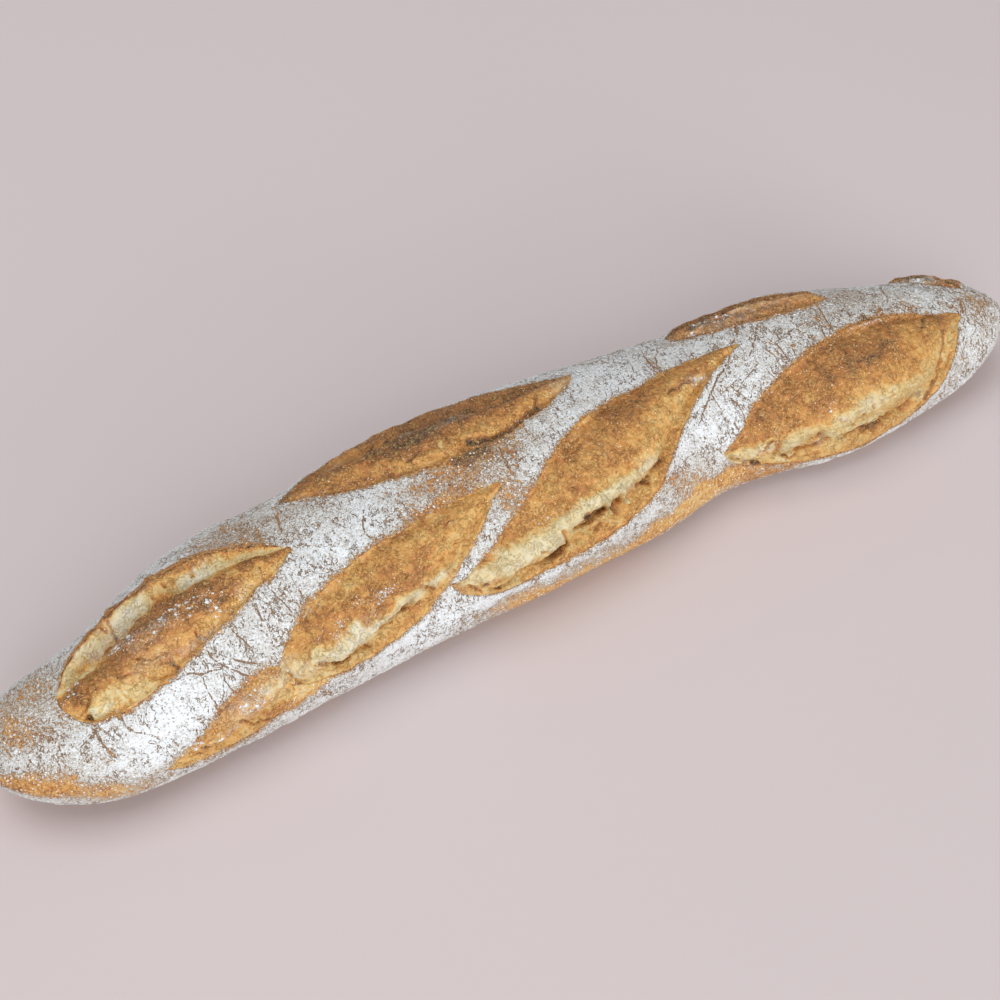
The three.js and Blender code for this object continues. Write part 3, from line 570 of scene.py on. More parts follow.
            (120.6, 52.5, 1.6, 3.5, 0.22), (155.9, 7.5, 12, 2, 0.12), (136.3, 35.5, 26, 9, 0.1),
            (102.9, 60.5, 8, 3, 0.15),
        ],
    },
    "g": {
        "start": (-148, 87), "end": (-98, 60), "earSide": 1,
        "above": [-0.2, -1, -4.8, -6.2, -4.4], "below": [5.4, 11.4, 14.8, 14.6, 9.6],
        "bulge": 1.6, "seamAt": 0.7, "seam": 0.9, "rim": 0.8, "lip": 0.6, "fray": 1.8,
        "bakeAcross": [(0, 0.46), (0.3, 0.47), (0.6, 0.41), (1, 0.37)],
        "strokes": [
            ([(-128.8, 75.5), (-124.6, 72.5), (-120.3, 67.5), (-117.1, 64)], 2.2, 0.54, 0.8, 0),
            ([(-115, 74.5), (-110.3, 73.5), (-107, 73.5)], 3, 0.44, 0.8, 0.6),
            ([(-128.8, 81.5), (-126.4, 82.5)], 1.5, 0.28, 0.8, 0.7),
            ([(-118.5, 95), (-113.7, 94), (-109.7, 91)], 1.6, 0.42, 0.8, 0.3),
            ([(-107.4, 66), (-103.6, 65.5), (-100.8, 67)], 2, 0.24, 0.8, 0.2),
            ([(-108.7, 89), (-106, 86), (-103.6, 84)], 1.4, 0.62, 0.8, 0),
            # Painted shade in the crease and pits below.
            ([(-118.7, 78), (-116.3, 88), (-113.9, 90.5), (-111.6, 89.5),
              (-109.5, 90)], 0.6, 0.76, 0.95, -1.1),
            ([(-122.8, 81), (-120.9, 91)], 1.3, 0.5, 0.8, -0.7),
            ([(-133.5, 83), (-131.9, 84.5)], 0.5, 0.9, 0.9, -0.7),
            ([(-137.3, 85.5), (-135, 86), (-132.6, 93)], 0.4, 0.82, 0.8, -0.5),
            ([(-129.2, 85), (-127.3, 86.5)], 0.45, 0.85, 0.8, -0.6),
            ([(-114.7, 66.5), (-111.2, 67), (-107.8, 74)], 0.5, 0.5, 0.6, 0.4),
        ],
        "haze": [(-122.2, 84.5, 4, 3, 0.8), (-112.6, 71.5, 12, 6, 0.4), (-104.1, 65.5, 6, 5, 0.5)],
        "flecks": [
            (-114.2, 71, 7, 3, 0.4), (-108.9, 66, 5, 3, 0.3), (-126.6, 85, 4, 2, 0.25),
            (-130.7, 81.5, 8, 3, 0.25),
        ],
    },
    "h": {
        "start": (176, -54), "end": (198, -24), "earSide": -1,
        "above": [-2, -3, -4, -3, -2], "below": [2, 3, 4, 3, 2],
        "bulge": 1.8, "seamAt": 0.7, "seam": 0.9, "rim": 2.8, "lip": 0.5, "fray": 0.5,
        "bakeAcross": [(0, 0.75), (1, 0.85)],
        "strokes": [],
        "haze": [(187, -39, 12, 5, 0.7)],
        "flecks": [(187, -39, 12, 5, 0.3)],
    },
}
slashShape = {
    "edgeStations": 6,
    "outlinePoints": 161,
    "raggedEdge": [(9.0, 0.7), (3.4, 0.5), (1.4, 0.28)],  # size and height of the waves of the edges
    "lipAt": 0.05,  # share of the width at which the crust edge has dropped to the crumb
    "bulgeAt": 0.44,
    "edgeRise": 0.3,
    "seamSteepness": 1.3,
    "earFall": 7,
    "earWaves": 0.32,  # share by which the height of an ear varies along it
    "earWaveSize": 7,
    "edgeFall": 4,
    "earSide": (0.45, 0.85),
    "endMargin": 0.03,
    "endFade": 0.1,
    "fullnessPower": 0.6,
    "bedDepth": 7,  # how far the crust under an opening lies below the loaf
    "bedWall": 1.4,
    "tuck": 0.25,  # how far the crumb meets the crust below its edge
}
# Tears in the crumb. Width is the half width, in millimetres like the depth.
tears = [
    {"path": [(-33, 60), (-27, 71), (-19, 78.5), (-10, 80)], "width": 1.1, "depth": 1.2},
    {"path": [(-14, 69), (-6, 73), (2, 74), (8, 71)], "width": 1.1, "depth": 3.0},
    {"path": [(10, 61), (20, 59.5), (32.6, 57), (42.7, 53), (52, 46.5), (58, 38)],
     "width": 1.4, "depth": 2.2},
    {"path": [(79, 69), (85, 77), (90.5, 82)], "width": 1.1, "depth": 2.0},
    {"path": [(98, 83), (106, 87.5), (129, 85), (141, 84.5), (153, 77.5), (163, 70)],
     "width": 1.4, "depth": 2.6},
    {"path": [(169, 78), (172, 64), (177, 53), (182, 43.5)], "width": 0.8, "depth": 1.4},
    {"path": [(-90, 62), (-84, 69), (-79, 73), (-70, 72)], "width": 1.0, "depth": 2.2},
    {"path": [(-67, 65), (-58, 62), (-48, 57), (-38, 53)], "width": 0.9, "depth": 1.8},
    {"path": [(-99, 63), (-95, 73), (-88, 81)], "width": 0.9, "depth": 1.5},
    {"path": [(-124, 77), (-118, 81), (-112, 88)], "width": 1.0, "depth": 1.3},
    {"path": [(-166, -7), (-157, -14), (-146, -16.5), (-126, -12), (-106, -7)], "width": 1.7, "depth": 2.4},
    {"path": [(-164, 15), (-162.6, 23), (-161.6, 29)], "width": 0.9, "depth": 2.0},
    {"path": [(-45, -35), (-30, -34.5), (-12, -31.5), (6, -27), (20, -25)], "width": 1.9, "depth": 2.6},
    {"path": [(98, -37), (111, -32), (126, -28)], "width": 1.2, "depth": 1.8},
]


# Offsets of both edges from the slash's line, at a share of its length.
def edgeOffsets(slash, share):
    station = np.arccos(1 - 2 * np.clip(share, 0, 1)) / np.pi * slashShape["edgeStations"]
    above = curveThrough([0, *slash["above"], 0], station)
    return above, curveThrough([0, *slash["below"], 0], station)


# Adds to a slash its frame on the flat crust and its ragged outline.
def layOut(slash, seed):
    start, end = flat(slash["start"]), flat(slash["end"])
    run = end - start
    slash["origin"] = start
    slash["length"] = np.hypot(*run)
    slash["along"] = run / slash["length"]
    slash["across"] = np.array([-slash["along"][1], slash["along"][0]])
    share = (1 - np.cos(np.linspace(0, np.pi, slashShape["outlinePoints"]))) / 2
    above, below = edgeOffsets(slash, share)
    onLine = start + share[:, None] * run
    upper = onLine + above[:, None] * slash["across"]
    lower = onLine + below[:, None] * slash["across"]
    slash["outline"] = np.concatenate([upper, lower[-2::-1]])
    slash["widest"] = (below - above).max()
    solid = inSpace(slash["outline"])
    for size, height in slashShape["raggedEdge"]:
        for axis in (0, 1):
            slash["outline"][:, axis] += height * softNoise(solid, size, seed + axis)


# Distance to the outline of a slash, positive inside it.
def depthInside(slash, places):
    outline = slash["outline"]
    distance, onLine, _, _ = nearestOn(outline, places)
    inside = np.zeros(len(places), bool)
    for a, b in itertools.pairwise(outline):
        crosses = (a[1] > places[:, 1]) != (b[1] > places[:, 1])
        rise = b[1] - a[1] if b[1] != a[1] else 1
        at = a[0] + (b[0] - a[0]) * (places[:, 1] - a[1]) / rise
        inside ^= crosses & (places[:, 0] < at)
    return np.where(inside, distance, -distance), onLine


# Share of the way along a slash, share of the way across it, and how full its relief is there.
def placeIn(slash, places):
    fromStart = places - slash["origin"]
    share = fromStart @ slash["along"] / slash["length"]
    above, below = edgeOffsets(slash, np.clip(share, slashShape["endMargin"], 1 - slashShape["endMargin"]))
    width = np.maximum(below - above, 1)
    across = (fromStart @ slash["across"] - above) / width
    across = across if slash["earSide"] > 0 else 1 - across
    endFade = smoothStep(np.minimum(share, 1 - share), 0, slashShape["endFade"])
    fullness = np.minimum(width / slash["widest"], 1) ** slashShape["fullnessPower"] * endFade
    return share, across, fullness


# How the height of an ear varies along it.
def earWaves(places):
    return 1 + slashShape["earWaves"] * softNoise(inSpace(places), slashShape["earWaveSize"], 401, 2)


# Height of the crumb above the plain loaf, from the plain edge over the bulge and the seam to the ear.
def heightAcross(slash, places, across):
    stops = [0, slashShape["lipAt"], slashShape["bulgeAt"], slash["seamAt"], 1]
    heights = [slashShape["edgeRise"], -slash["lip"], slash["bulge"], -slash["seam"], slash["rim"]]
    across = np.clip(across, 0, 1)
    span = np.clip(np.searchsorted(stops, across, side="right") - 1, 0, 3)
    low, high = np.array(stops)[span], np.array(stops)[span + 1]
    t = (across - low) / (high - low)
    halfWave = 0.5 - 0.5 * np.cos(np.pi * t)
    fall = (1 - np.cos(np.pi / 2 * t)) ** slashShape["seamSteepness"]
    eased = np.choose(span, [halfWave, np.sin(np.pi / 2 * t), fall, halfWave])
    height = np.array(heights)[span] * (1 - eased) + np.array(heights)[span + 1] * eased
    return height + (span == 3) * eased * slash["rim"] * (earWaves(places) - 1)


# Height of the crust beside a slash, and 1 on the ear's side of it.
def edgeHeight(slash, places, depth, across, fullness):
    outside = np.minimum(depth, 0)
    ear = smoothStep(across, *slashShape["earSide"])
    earPart = slash["rim"] * earWaves(places) * bell(outside, slashShape["earFall"]) * ear
    plainPart = slashShape["edgeRise"] * bell(outside, slashShape["edgeFall"]) * (1 - ear)
    return (earPart + plainPart) * fullness, ear


for number, slash in enumerate(slashes.values()):
    layOut(slash, 300 + 7 * number)

# The floured crust. A crack is its path and half width. A patch is x, angle, reach along, reach
# around and the change of flour or bake there.
crust = {
    "rings": 470,
    "fineStep": 1.28,  # degrees between columns on the seen side
    "coarseStep": 3.0,
    "fineFrom": -62,
    "fineTo": 108,
    "endCrowding": 1.15,
    "tipInset": 0.35,
    "snap": 0.42,  # vertices this near the edge of an opening move onto it
    "topFade": (118, 140),  # angles over which the relief and the loose flour fade out below
    "swell": 0.34,
    "swellSize": 12,
    "fine": 0.15,
    "fineSize": 2.4,
    "smoothReach": 2,  # the crust is smoother this close to an opening
    "smoothLeft": 0.3,
    "lowerLeft": 0.35,  # relief left on the lower sides
    "wrinkle": 0.3,
    "wrinkleSize": 4.2,
    "wrinkleSquash": (1.7, 0.7, 0.7),  # wrinkles are short along the loaf and long around it
    "wrinkleFrom": 0.86,
    "wrinkleGateSize": 16,
    "wrinkleGate": (-0.25, 0.35),
    "crackDepth": 0.55,
    "crackLip": 0.22,
    "crackWaver": 0.45,
    "crackWaverSize": 3,
    "crackWidth": 0.7,  # half width of the groove and of the lips, and their distance
    "crackLipWidth": 0.6,
    "crackLipAt": 1.3,
    "fullCrack": 0.5,  # a crack with at least this half width has the full depth
    "crackThinning": 3,
    "crackReach": 4,
    "byCrack": (1.2, 2.2),
    "flour": 0.76,
    "flourSwell": 0.07,
    "flourDrift": 0.07,  # broad changes of the flour
    "driftBehind": 0.12,  # more of them on the far side
    "behind": (40, 80),
    "flourDriftSize": 28,
    "wrinkleBareness": 0.28,
    "lowBareness": 0.52,  # flour missing near the base
    "lowCentre": 8,
    "lowFade": (102, 128),  # angles from the low centre over which the flour thins out
    "bake": 0.62,
    "lowPaleness": 0.14,
    "wornBake": 0.12,
    "patchWarp": 2.5,
    "patchWarpSize": 9,
    "leastLoose": 0.35,
    "cracks": [
        ([(-163.5, 29), (-163, 37), (-162.5, 46), (-160.5, 57)], 0.56),
        ([(-162, 30), (-166, 36), (-170, 40)], 0.38), ([(-152, 45), (-148, 51), (-145, 59)], 0.3),
        ([(-139, 26), (-135, 31), (-131, 33)], 0.4), ([(-149, 56), (-147, 61), (-148, 66)], 0.3),
        ([(-114, 39), (-110, 45), (-107, 49)], 0.38), ([(-100, 20), (-99.5, 29)], 0.34),
        ([(-93, 13), (-89, 9), (-86, 3)], 0.45), ([(-54, 17), (-55, 10), (-52, 0)], 0.38),
        ([(-77, -30), (-79, -20), (-80, -12)], 0.45), ([(-86, -24), (-88, -13)], 0.38),
        ([(70, -32), (70, -20), (69, -10), (68, -5)], 0.32), ([(63, -24), (61.5, -14)], 0.27),
        ([(104, -14), (100, -7), (95, 4), (88, 13), (80, 25), (72, 37)], 0.37),
        ([(113, -15), (107, -2), (103, 6)], 0.32), ([(110, 5), (112, 12), (113, 18)], 0.27),
        ([(116, -8), (117, 3)], 0.24), ([(121, -2), (119.5, 10)], 0.3), ([(134, -10), (134, 3)], 0.27),
        ([(158.5, -8), (158, 4)], 0.46), ([(154, -2), (159, 3)], 0.32), ([(169, -6), (170, 3)], 0.24),
        ([(136, -28), (137, -20)], 0.27), ([(99, -28), (97, -20)], 0.24), ([(-31, -14), (-28, -3)], 0.38),
        ([(-91, 84), (-85, 99)], 0.38), ([(-133, 92), (-131, 99)], 0.38), ([(89, 28), (93, 40)], 0.24),
        ([(-132.2, 31.5), (-128.3, 34), (-125.3, 37), (-122, 39), (-118.5, 41.5)], 0.34),
        ([(-124.6, 39), (-125.1, 43.5), (-125.4, 47.5), (-124.9, 53.5), (-124.7, 59), (-125, 65)], 0.3),
        ([(-118.7, 45), (-118.7, 49.5), (-117.8, 55.5), (-117.1, 59)], 0.26),
        ([(-124.1, 62), (-121.3, 59.5)], 0.3),
        ([(-158.7, 28), (-155.8, 27), (-154.4, 31), (-153.6, 38.5), (-151.9, 44.5)], 0.55),
        ([(-120.7, 28), (-119.1, 35.5), (-115.7, 43.5), (-111.9, 51), (-108.5, 58.5)], 0.34),
        ([(-109.9, 23), (-109.4, 29), (-107.7, 35), (-106.4, 44)], 0.3),
        ([(-92.8, 16), (-91, 23), (-89.8, 28), (-89.3, 32.5)], 0.32), ([(-83.8, 22.5), (-83.9, 28)], 0.5),
        ([(-87.7, 13), (-90.4, 18)], 0.3), ([(-99.5, 41), (-99, 46), (-95.9, 45.5)], 0.3),
        ([(-89.8, 93), (-85.3, 101.5), (-82.1, 104)], 0.4),
        ([(-133.6, 65), (-133.9, 71.5), (-134.3, 77)], 0.3), ([(-142.4, 63.5), (-140.6, 71)], 0.34),
        ([(0.5, 1.5), (-0.2, 8), (-0.1, 13), (-0.6, 19)], 0.36),
        ([(-104.3, 85.5), (-101.3, 87.5), (-97, 90)], 0.5), ([(-78.9, 91), (-75.9, 93.5)], 0.3),
        ([(-113.6, 55), (-109.2, 58.5), (-106.5, 56.5)], 0.35), ([(-30.3, 13.5), (-30.4, 20.5)], 0.26),
        ([(-56.1, -2.5), (-54, 5)], 0.26), ([(94.6, 23), (100.2, 16.5), (104.8, 11.5)], 0.22),
        ([(87, 23), (95.1, 18)], 0.19), ([(112.2, 3), (122.1, -3.5), (129.5, -6)], 0.22),
        ([(73.8, -23.5), (71.1, -12), (68.9, -1)], 0.36),
        ([(107.2, -25), (105.5, -17.5), (103.8, -11)], 0.36),
        ([(90.6, 19.5), (92.7, 27), (94.2, 33.5)], 0.29),
        ([(138.9, -22), (137.8, -10.5), (136.5, -0.5), (135.4, 8)], 0.29),
        ([(133.1, 0), (132.1, 6), (131.5, 11)], 0.29), ([(159.5, -5.5), (158.2, 5.5)], 0.58),
        ([(172.6, -1), (169.6, 6.5)], 0.22), ([(114.4, 2), (114.6, 8.5), (114.3, 18)], 0.29),
        ([(118.6, 6.5), (118.1, 16.5)], 0.23), ([(170.8, -41), (167.3, -23), (165.2, -11)], 0.24),
        ([(192.4, 2), (190.7, 10.5), (189.6, 19)], 0.5), ([(196.4, 51.5), (196.2, 58.5)], 0.9),
        ([(90.9, 47.5), (90.6, 35.5), (88.2, 28.5)], 0.2), ([(82.9, 22.5), (83.8, 36)], 0.19),
        ([(75.8, 27.5), (82.3, 24.5)], 0.19), ([(105.8, 17), (106.5, 24), (108.6, 28.5)], 0.19),
        ([(71.2, -35), (69.6, -19.5)], 0.19),
    ],
    "flourAndShadowPatches": [
        # The first five patches bare the crust just below slash c, and those at (-9.1, -2.5) and (150.8, 3)
        # bare it along the near edge of slash c and the upper edge of slash f: painted shadow.
        (1.3, 7, 14, 5, -0.11), (-12.9, 8.5, 12, 5, -0.09), (-26.4, 2.5, 12, 4, -0.09),
        (-37.1, -1, 12, 4, -0.07), (11.5, 6, 8, 4, -0.06), (24.5, 117, 12, 5.5, -0.34),
        (37.7, 110.5, 12, 5.5, -0.34), (49.3, 99, 12, 5.5, -0.32), (63.1, 94.5, 12, 5.5, -0.32),
        (75.2, 86, 12, 5.5, -0.38), (8.7, 109, 12, 5.5, -0.34), (-5.9, 110.5, 12, 5.5, -0.24),
        (98, 103, 14, 7, -0.42), (-9.1, -2.5, 9, 4, -0.34), (150.8, 3, 6, 2.5, -0.3),
        (95, -32.5, 16, 5, -0.26), (194.8, 11, 14, 8, -0.14), (-138, 54, 26, 18, 0.2),
        (-60, 8, 20, 7, 0.16), (-45, 78, 20, 10, 0.18), (-15, 86, 26, 5, 0.15), (-29, 52, 7, 6, 0.2),
        (45, -16, 20, 12, 0.08), (78, 38, 20, 9, 0.12), (96, 22, 10, 9, 0.05), (-98, -28, 16, 14, -0.2),
        (-72, -22, 14, 10, -0.15), (-20, 8, 24, 7, -0.18), (-5, 30, 10, 8, -0.22), (-26, 17, 16, 3, -0.2),
        (-182, -10, 20, 22, -0.2), (-186, 12, 8, 12, -0.12), (-190, 74, 14, 12, -0.5),
        (-174, 84, 16, 8, -0.3), (-176, 52, 12, 6, -0.1), (-160, 98, 12, 8, -0.3),
        (-140, 82, 16, 5, -0.2), (128, -14, 34, 12, -0.08), (160, -20, 20, 14, -0.1),
        (202, 20, 12, 30, -0.12), (-10, 97, 16, 6, -0.28), (30, 98, 30, 9, -0.2), (62, 80, 12, 14, -0.24),
        (75, 94, 16, 10, -0.22), (88, 90, 8, 4, -0.3), (30, 114, 60, 9, -0.2), (52, 60, 8, 5, -0.2),
        (-94, 78, 7, 6, -0.7), (-101, 88, 7, 3, -0.4),
    ],
    "bakeAndShadowPatches": [
        # The first three bake patches darken the same places as painted shadow.
        (1.3, 7, 22, 6, 0.14), (-9.1, -2.5, 9, 4, 0.3), (150.8, 3, 6, 2.5, 0.3), (95, -32.5, 16, 5, 0.2),
        (194.8, 11, 14, 8, 0.12), (-94, 78, 8, 6, -0.36), (20, 100, 60, 12, -0.17),
        (62, 80, 14, 14, -0.1), (75, 94, 16, 10, -0.1), (-176, 80, 20, 16, -0.08),
        (-140, 84, 16, 6, -0.3), (-160, 98, 14, 8, -0.16), (-182, -10, 20, 20, -0.06),
    ],
}


def patchSum(patches, places):
    total = np.zeros(len(places))
    for x, angle, reachAlong, reachAround, change in patches:
        offset = (places - flat((x, angle))) / (reachAlong, reachAround)
        total += change * np.exp(-((offset**2).sum(1) ** 1.5))
    return total


def addObject(name, data):
    added = bpy.data.objects.new(name, data)
    bpy.context.collection.objects.link(added)
    return added


def makeMesh(name, points, faces, values):
    mesh = bpy.data.meshes.new(name)
    mesh.from_pydata((points / 1000).tolist(), [], faces)
    for label, value in values.items():
        mesh.attributes.new(label, "FLOAT", "POINT").data.foreach_set("value", value.astype(np.float32))
    mesh.shade_smooth()
    mesh.set_sharp_from_angle(angle=np.radians(60))
    return addObject(name, mesh)


def columnAngles():
    angles = [-180.0]
    while angles[-1] < 180:
        seen = crust["fineFrom"] < angles[-1] < crust["fineTo"]
        angles.append(angles[-1] + (crust["fineStep"] if seen else crust["coarseStep"]))
    angles = np.array(angles)
    return -180 + 360 * (angles[:-1] + 180) / (angles[-1] + 180)


def ringPlaces():
    side = 2 * np.arange(1, crust["rings"]) / crust["rings"] - 1
    inner = np.sign(side) * (1 - (1 - np.abs(side)) ** crust["endCrowding"])
    middle = (loaf["leftEnd"] + loaf["rightEnd"]) / 2
    return np.r_[loaf["leftEnd"] + crust["tipInset"], middle + inner * loafLength / 2,
                 loaf["rightEnd"] - crust["tipInset"]]


# How flour has rubbed off along the edges of the openings: how far from the edge, and how much of it.
wear = {
    "plainReach": 1.0,
    "earReach": 0.3,
    "reachPerRim": 0.22,
    "overEdge": 0.15,
    "plain": 0.6,
    "earLeast": 0.15,
    "earMore": 0.9,
    "fullRim": 3,
}


# Height the slashes give the crust round them, depth inside the openings and wear along the ears.
def slashEdges(places):
    height = np.zeros(len(places))
    deepest = np.full(len(places), -99.0)
    worn = np.zeros(len(places))
    for slash in slashes.values():
        near = np.flatnonzero(nearBox(slash["outline"], places, 2 * slashShape["earFall"]))
        depth, _ = depthInside(slash, places[near])
        _, across, fullness = placeIn(slash, places[near])
        edge, ear = edgeHeight(slash, places[near], depth, across, fullness)
        height[near] += edge
        deepest[near] = np.maximum(deepest[near], depth)
        earReach = wear["earReach"] + wear["reachPerRim"] * slash["rim"]
        reach = wear["plainReach"] * (1 - ear) + earReach * ear + slash["fray"]
        rubbed = bell(np.minimum(depth + wear["overEdge"], 0), reach) * fullness
        earWear = wear["earLeast"] + wear["earMore"] * min(slash["rim"] / wear["fullRim"], 1)
        worn[near] = np.maximum(worn[near], rubbed * (wear["plain"] * (1 - ear) + earWear * ear))
    return height, deepest, worn


def makeCrust():
    rings, angles = ringPlaces(), columnAngles()
    x, angle = (grid.ravel() for grid in np.meshgrid(rings, angles, indexing="ij"))
    places = np.stack([x, angle * loaf["mmPerDegree"]], 1)
    for slash in slashes.values():
        near = np.flatnonzero(nearBox(slash["outline"], places, 1))
        depth, onLine = depthInside(slash, places[near])
        close = np.abs(depth) < crust["snap"]
        places[near[close]] = onLine[close]
    x, angle = places[:, 0], places[:, 1] / loaf["mmPerDegree"]
    base = loafPoint(x, angle)
    height, deepest, worn = slashEdges(places)
    height += lumpHeight(x, angle)
    top = 1 - smoothStep(np.abs(angle), *crust["topFade"])
    swell = softNoise(base, crust["swellSize"], 3, 2)
    fine = softNoise(base, crust["fineSize"], 5, 2)
    gate = smoothStep(softNoise(base, crust["wrinkleGateSize"], 67, 2), *crust["wrinkleGate"])
    ridged = ridges(base * crust["wrinkleSquash"], crust["wrinkleSize"], 61)
    wrinkle = smoothStep(ridged, crust["wrinkleFrom"], 1) * gate
    away = smoothStep(-deepest, 0, crust["smoothReach"])
    share = crust["lowerLeft"] + (1 - crust["lowerLeft"]) * top
    share *= crust["smoothLeft"] + (1 - crust["smoothLeft"]) * away
    height += top * crust["swell"] * swell * endShare(x)
    height += share * (crust["fine"] * fine - crust["wrinkle"] * wrinkle)
    # Crack counts half widths from the line, negative on one side, so that the line stays sharp between
    # the vertices. By crack is 1 close to one.
    crack = np.full(len(places), 9.0)
    byCrack = np.zeros(len(places))
    strokes = [{"path": path, "width": width} for path, width in crust["cracks"]]

    def split(stroke, near, distance, share, side):
        wavy = distance * side
        wavy += crust["crackWaver"] * softNoise(base[near], crust["crackWaverSize"], 8, 2)
        taper = tapered(share)
        widths = wavy / stroke["width"] * (1 + crust["crackThinning"] * (1 - smoothStep(taper, 0, 0.5)))
        closer = np.abs(widths) < np.abs(crack[near])
        crack[near] = np.where(closer, widths, crack[near])
        byCrack[near] = np.maximum(byCrack[near], 1 - smoothStep(distance, *crust["byCrack"]))
        depth = crust["crackDepth"] * min(stroke["width"] / crust["fullCrack"], 1) * taper
        lips = bell(np.abs(wavy) - crust["crackLipAt"], crust["crackLipWidth"])
        height[near] -= depth * bell(wavy, crust["crackWidth"])
        height[near] += crust["crackLip"] * lips * taper

    alongStrokes(strokes, places, crust["crackReach"], split)
    height -= slashShape["bedDepth"] * smoothStep(deepest, 0, slashShape["bedWall"])
    points = base + loafNormal(x, angle) * height[:, None]
    points[:, 2] = np.maximum(points[:, 2], 0)
    warp = [softNoise(base, crust["patchWarpSize"], seed, 3) for seed in (71, 75)]
    patchy = places + crust["patchWarp"] * np.stack(warp, 1)
    low = smoothStep(np.abs(angle - crust["lowCentre"]), *crust["lowFade"])
    drift = crust["flourDrift"] + crust["driftBehind"] * smoothStep(-angle, *crust["behind"])
    flour = crust["flour"] - crust["lowBareness"] * low + patchSum(crust["flourAndShadowPatches"], patchy)
    flour += crust["flourSwell"] * swell - crust["wrinkleBareness"] * wrinkle
    flour += drift * softNoise(base, crust["flourDriftSize"], 79, 2)
    flour = np.clip(flour, 0, 1) * (1 - worn) * (deepest < 0.5)
    least = crust["leastLoose"]
    loose = top * (deepest < -0.3) * (least + (1 - least) * flour)
    bake = crust["bake"] - crust["lowPaleness"] * low + crust["wornBake"] * worn
    bake += patchSum(crust["bakeAndShadowPatches"], patchy)
    values = {"flour": flour, "bake": bake, "crack": crack, "byCrack": byCrack, "loose": loose}
    columns = len(angles)
    ends = [loafPoint(np.array([loaf[end]]), np.zeros(1))[0] for end in ("leftEnd", "rightEnd")]
    a = np.arange((len(rings) - 1) * columns).reshape(-1, columns)
    b = np.roll(a, -1, 1)
    quads = np.stack([a, b, b + columns, a + columns], -1).reshape(-1, 4)
    last = (len(rings) - 1) * columns
    leftEnd, rightEnd = len(points), len(points) + 1
    caps = [[leftEnd, (k + 1) % columns, k] for k in range(columns)]
    caps += [[rightEnd, last + k, last + (k + 1) % columns] for k in range(columns)]
    values = {label: np.r_[value, value[0], value[-1]] for label, value in values.items()}
    return makeMesh("floured_crust", np.concatenate([points, ends]), quads.tolist() + caps, values)


# The burst crumb of a slash: a grid that follows its edges and reaches a little under the crust.
crumb = {
    "stepAlong": 0.42,
    "stepAcross": 0.34,
    "margin": 2.0,
    "crowding": 0.4,  # how much closer the rows are at the ends
    "softEdge": 2.5,  # the relief grows over this depth from the edge
    "tuckFade": 1,
    "dive": 2,  # how far the margin goes under the crust
    "diveAt": (0.3, 1.5),
    "swell": 0.55,
    "swellSize": 9,
    "blister": 0.42,
    "blisterSize": 3.6,
    "fine": 0.26,
    "fineSize": 1.5,
    "fibre": 0.24,
    "fibreSize": 1.3,
    "fibreStretch": 4.5,
    "crease": 0.4,
    "creaseSize": 4.4,
    "creaseWarp": 1.5,
    "creaseFrom": 0.8,
    "seamWaver": 0.09,  # how far the seam strays, as a share of the width
    "seamWaverSize": 16,
    "warp": 0.9,
    "warpSize": 4,
    "brushCore": 0.35,  # a stroke is full up to this many half widths and gone at brushEdge
    "brushEdge": 1.5,
    "tearRagged": 0.6,
    "tearRaggedSize": 4,
    "paleUpTo": (0.12, 0.36),  # bake of torn crumb, where there are pits
    "pitSize": 1.9,
    "pitShare": 0.35,
    "pitDepth": 0.6,
    "bakeSwell": 0.06,  # how the relief changes the bake; the darkening of creases, pits and tears is painted shade
    "bakeBlister": 0.08,
    "bakeFine": 0.04,
    "bakeFibre": 0.06,
    "creaseShade": 0.1,
    "pitShade": 0.12,
    "tearShade": 0.3,
    "skirt": 4,
    "mostFlecks": 0.36,
    "leastLoose": 0.04,
    "clumpSize": 1.5,  # clumps of loose flour where the flecks are
    "clumpShare": 0.5,
    "clumpFlour": 0.9,
    "clumpRise": 0.3,
    "clumpFlecks": (0.05, 0.22),
    "edgeFlour": 0.3,  # flour that fell over the edges of the crust onto the crumb
    "edgeFlourAt": 0.9,
    "edgeFlourReach": 1.5,
}


# The rows and columns of a slash's grid, as flat places.
def crumbGrid(slash):
    margin = crumb["margin"]
    rows = int(slash["length"] / crumb["stepAlong"])
    columns = int((slash["widest"] + 2 * margin) / crumb["stepAcross"])
    t = np.linspace(0, 1, rows)
    eased = (1 - crumb["crowding"]) * t + crumb["crowding"] * (1 - np.cos(np.pi * t)) / 2
    walked = -margin + (slash["length"] + 2 * margin) * eased
    beyond = np.clip(np.maximum(-walked, walked - slash["length"]) / margin, 0, 0.999)
    reach = margin * np.sqrt(1 - beyond**2)
    above, below = edgeOffsets(slash, walked / slash["length"])
    w = np.linspace(0, 1, columns)
    offset = (above - reach)[:, None] * (1 - w) + (below + reach)[:, None] * w
    places = slash["origin"] + walked[:, None, None] * slash["along"] + offset[..., None] * slash["across"]
    return places.reshape(-1, 2), rows, columns


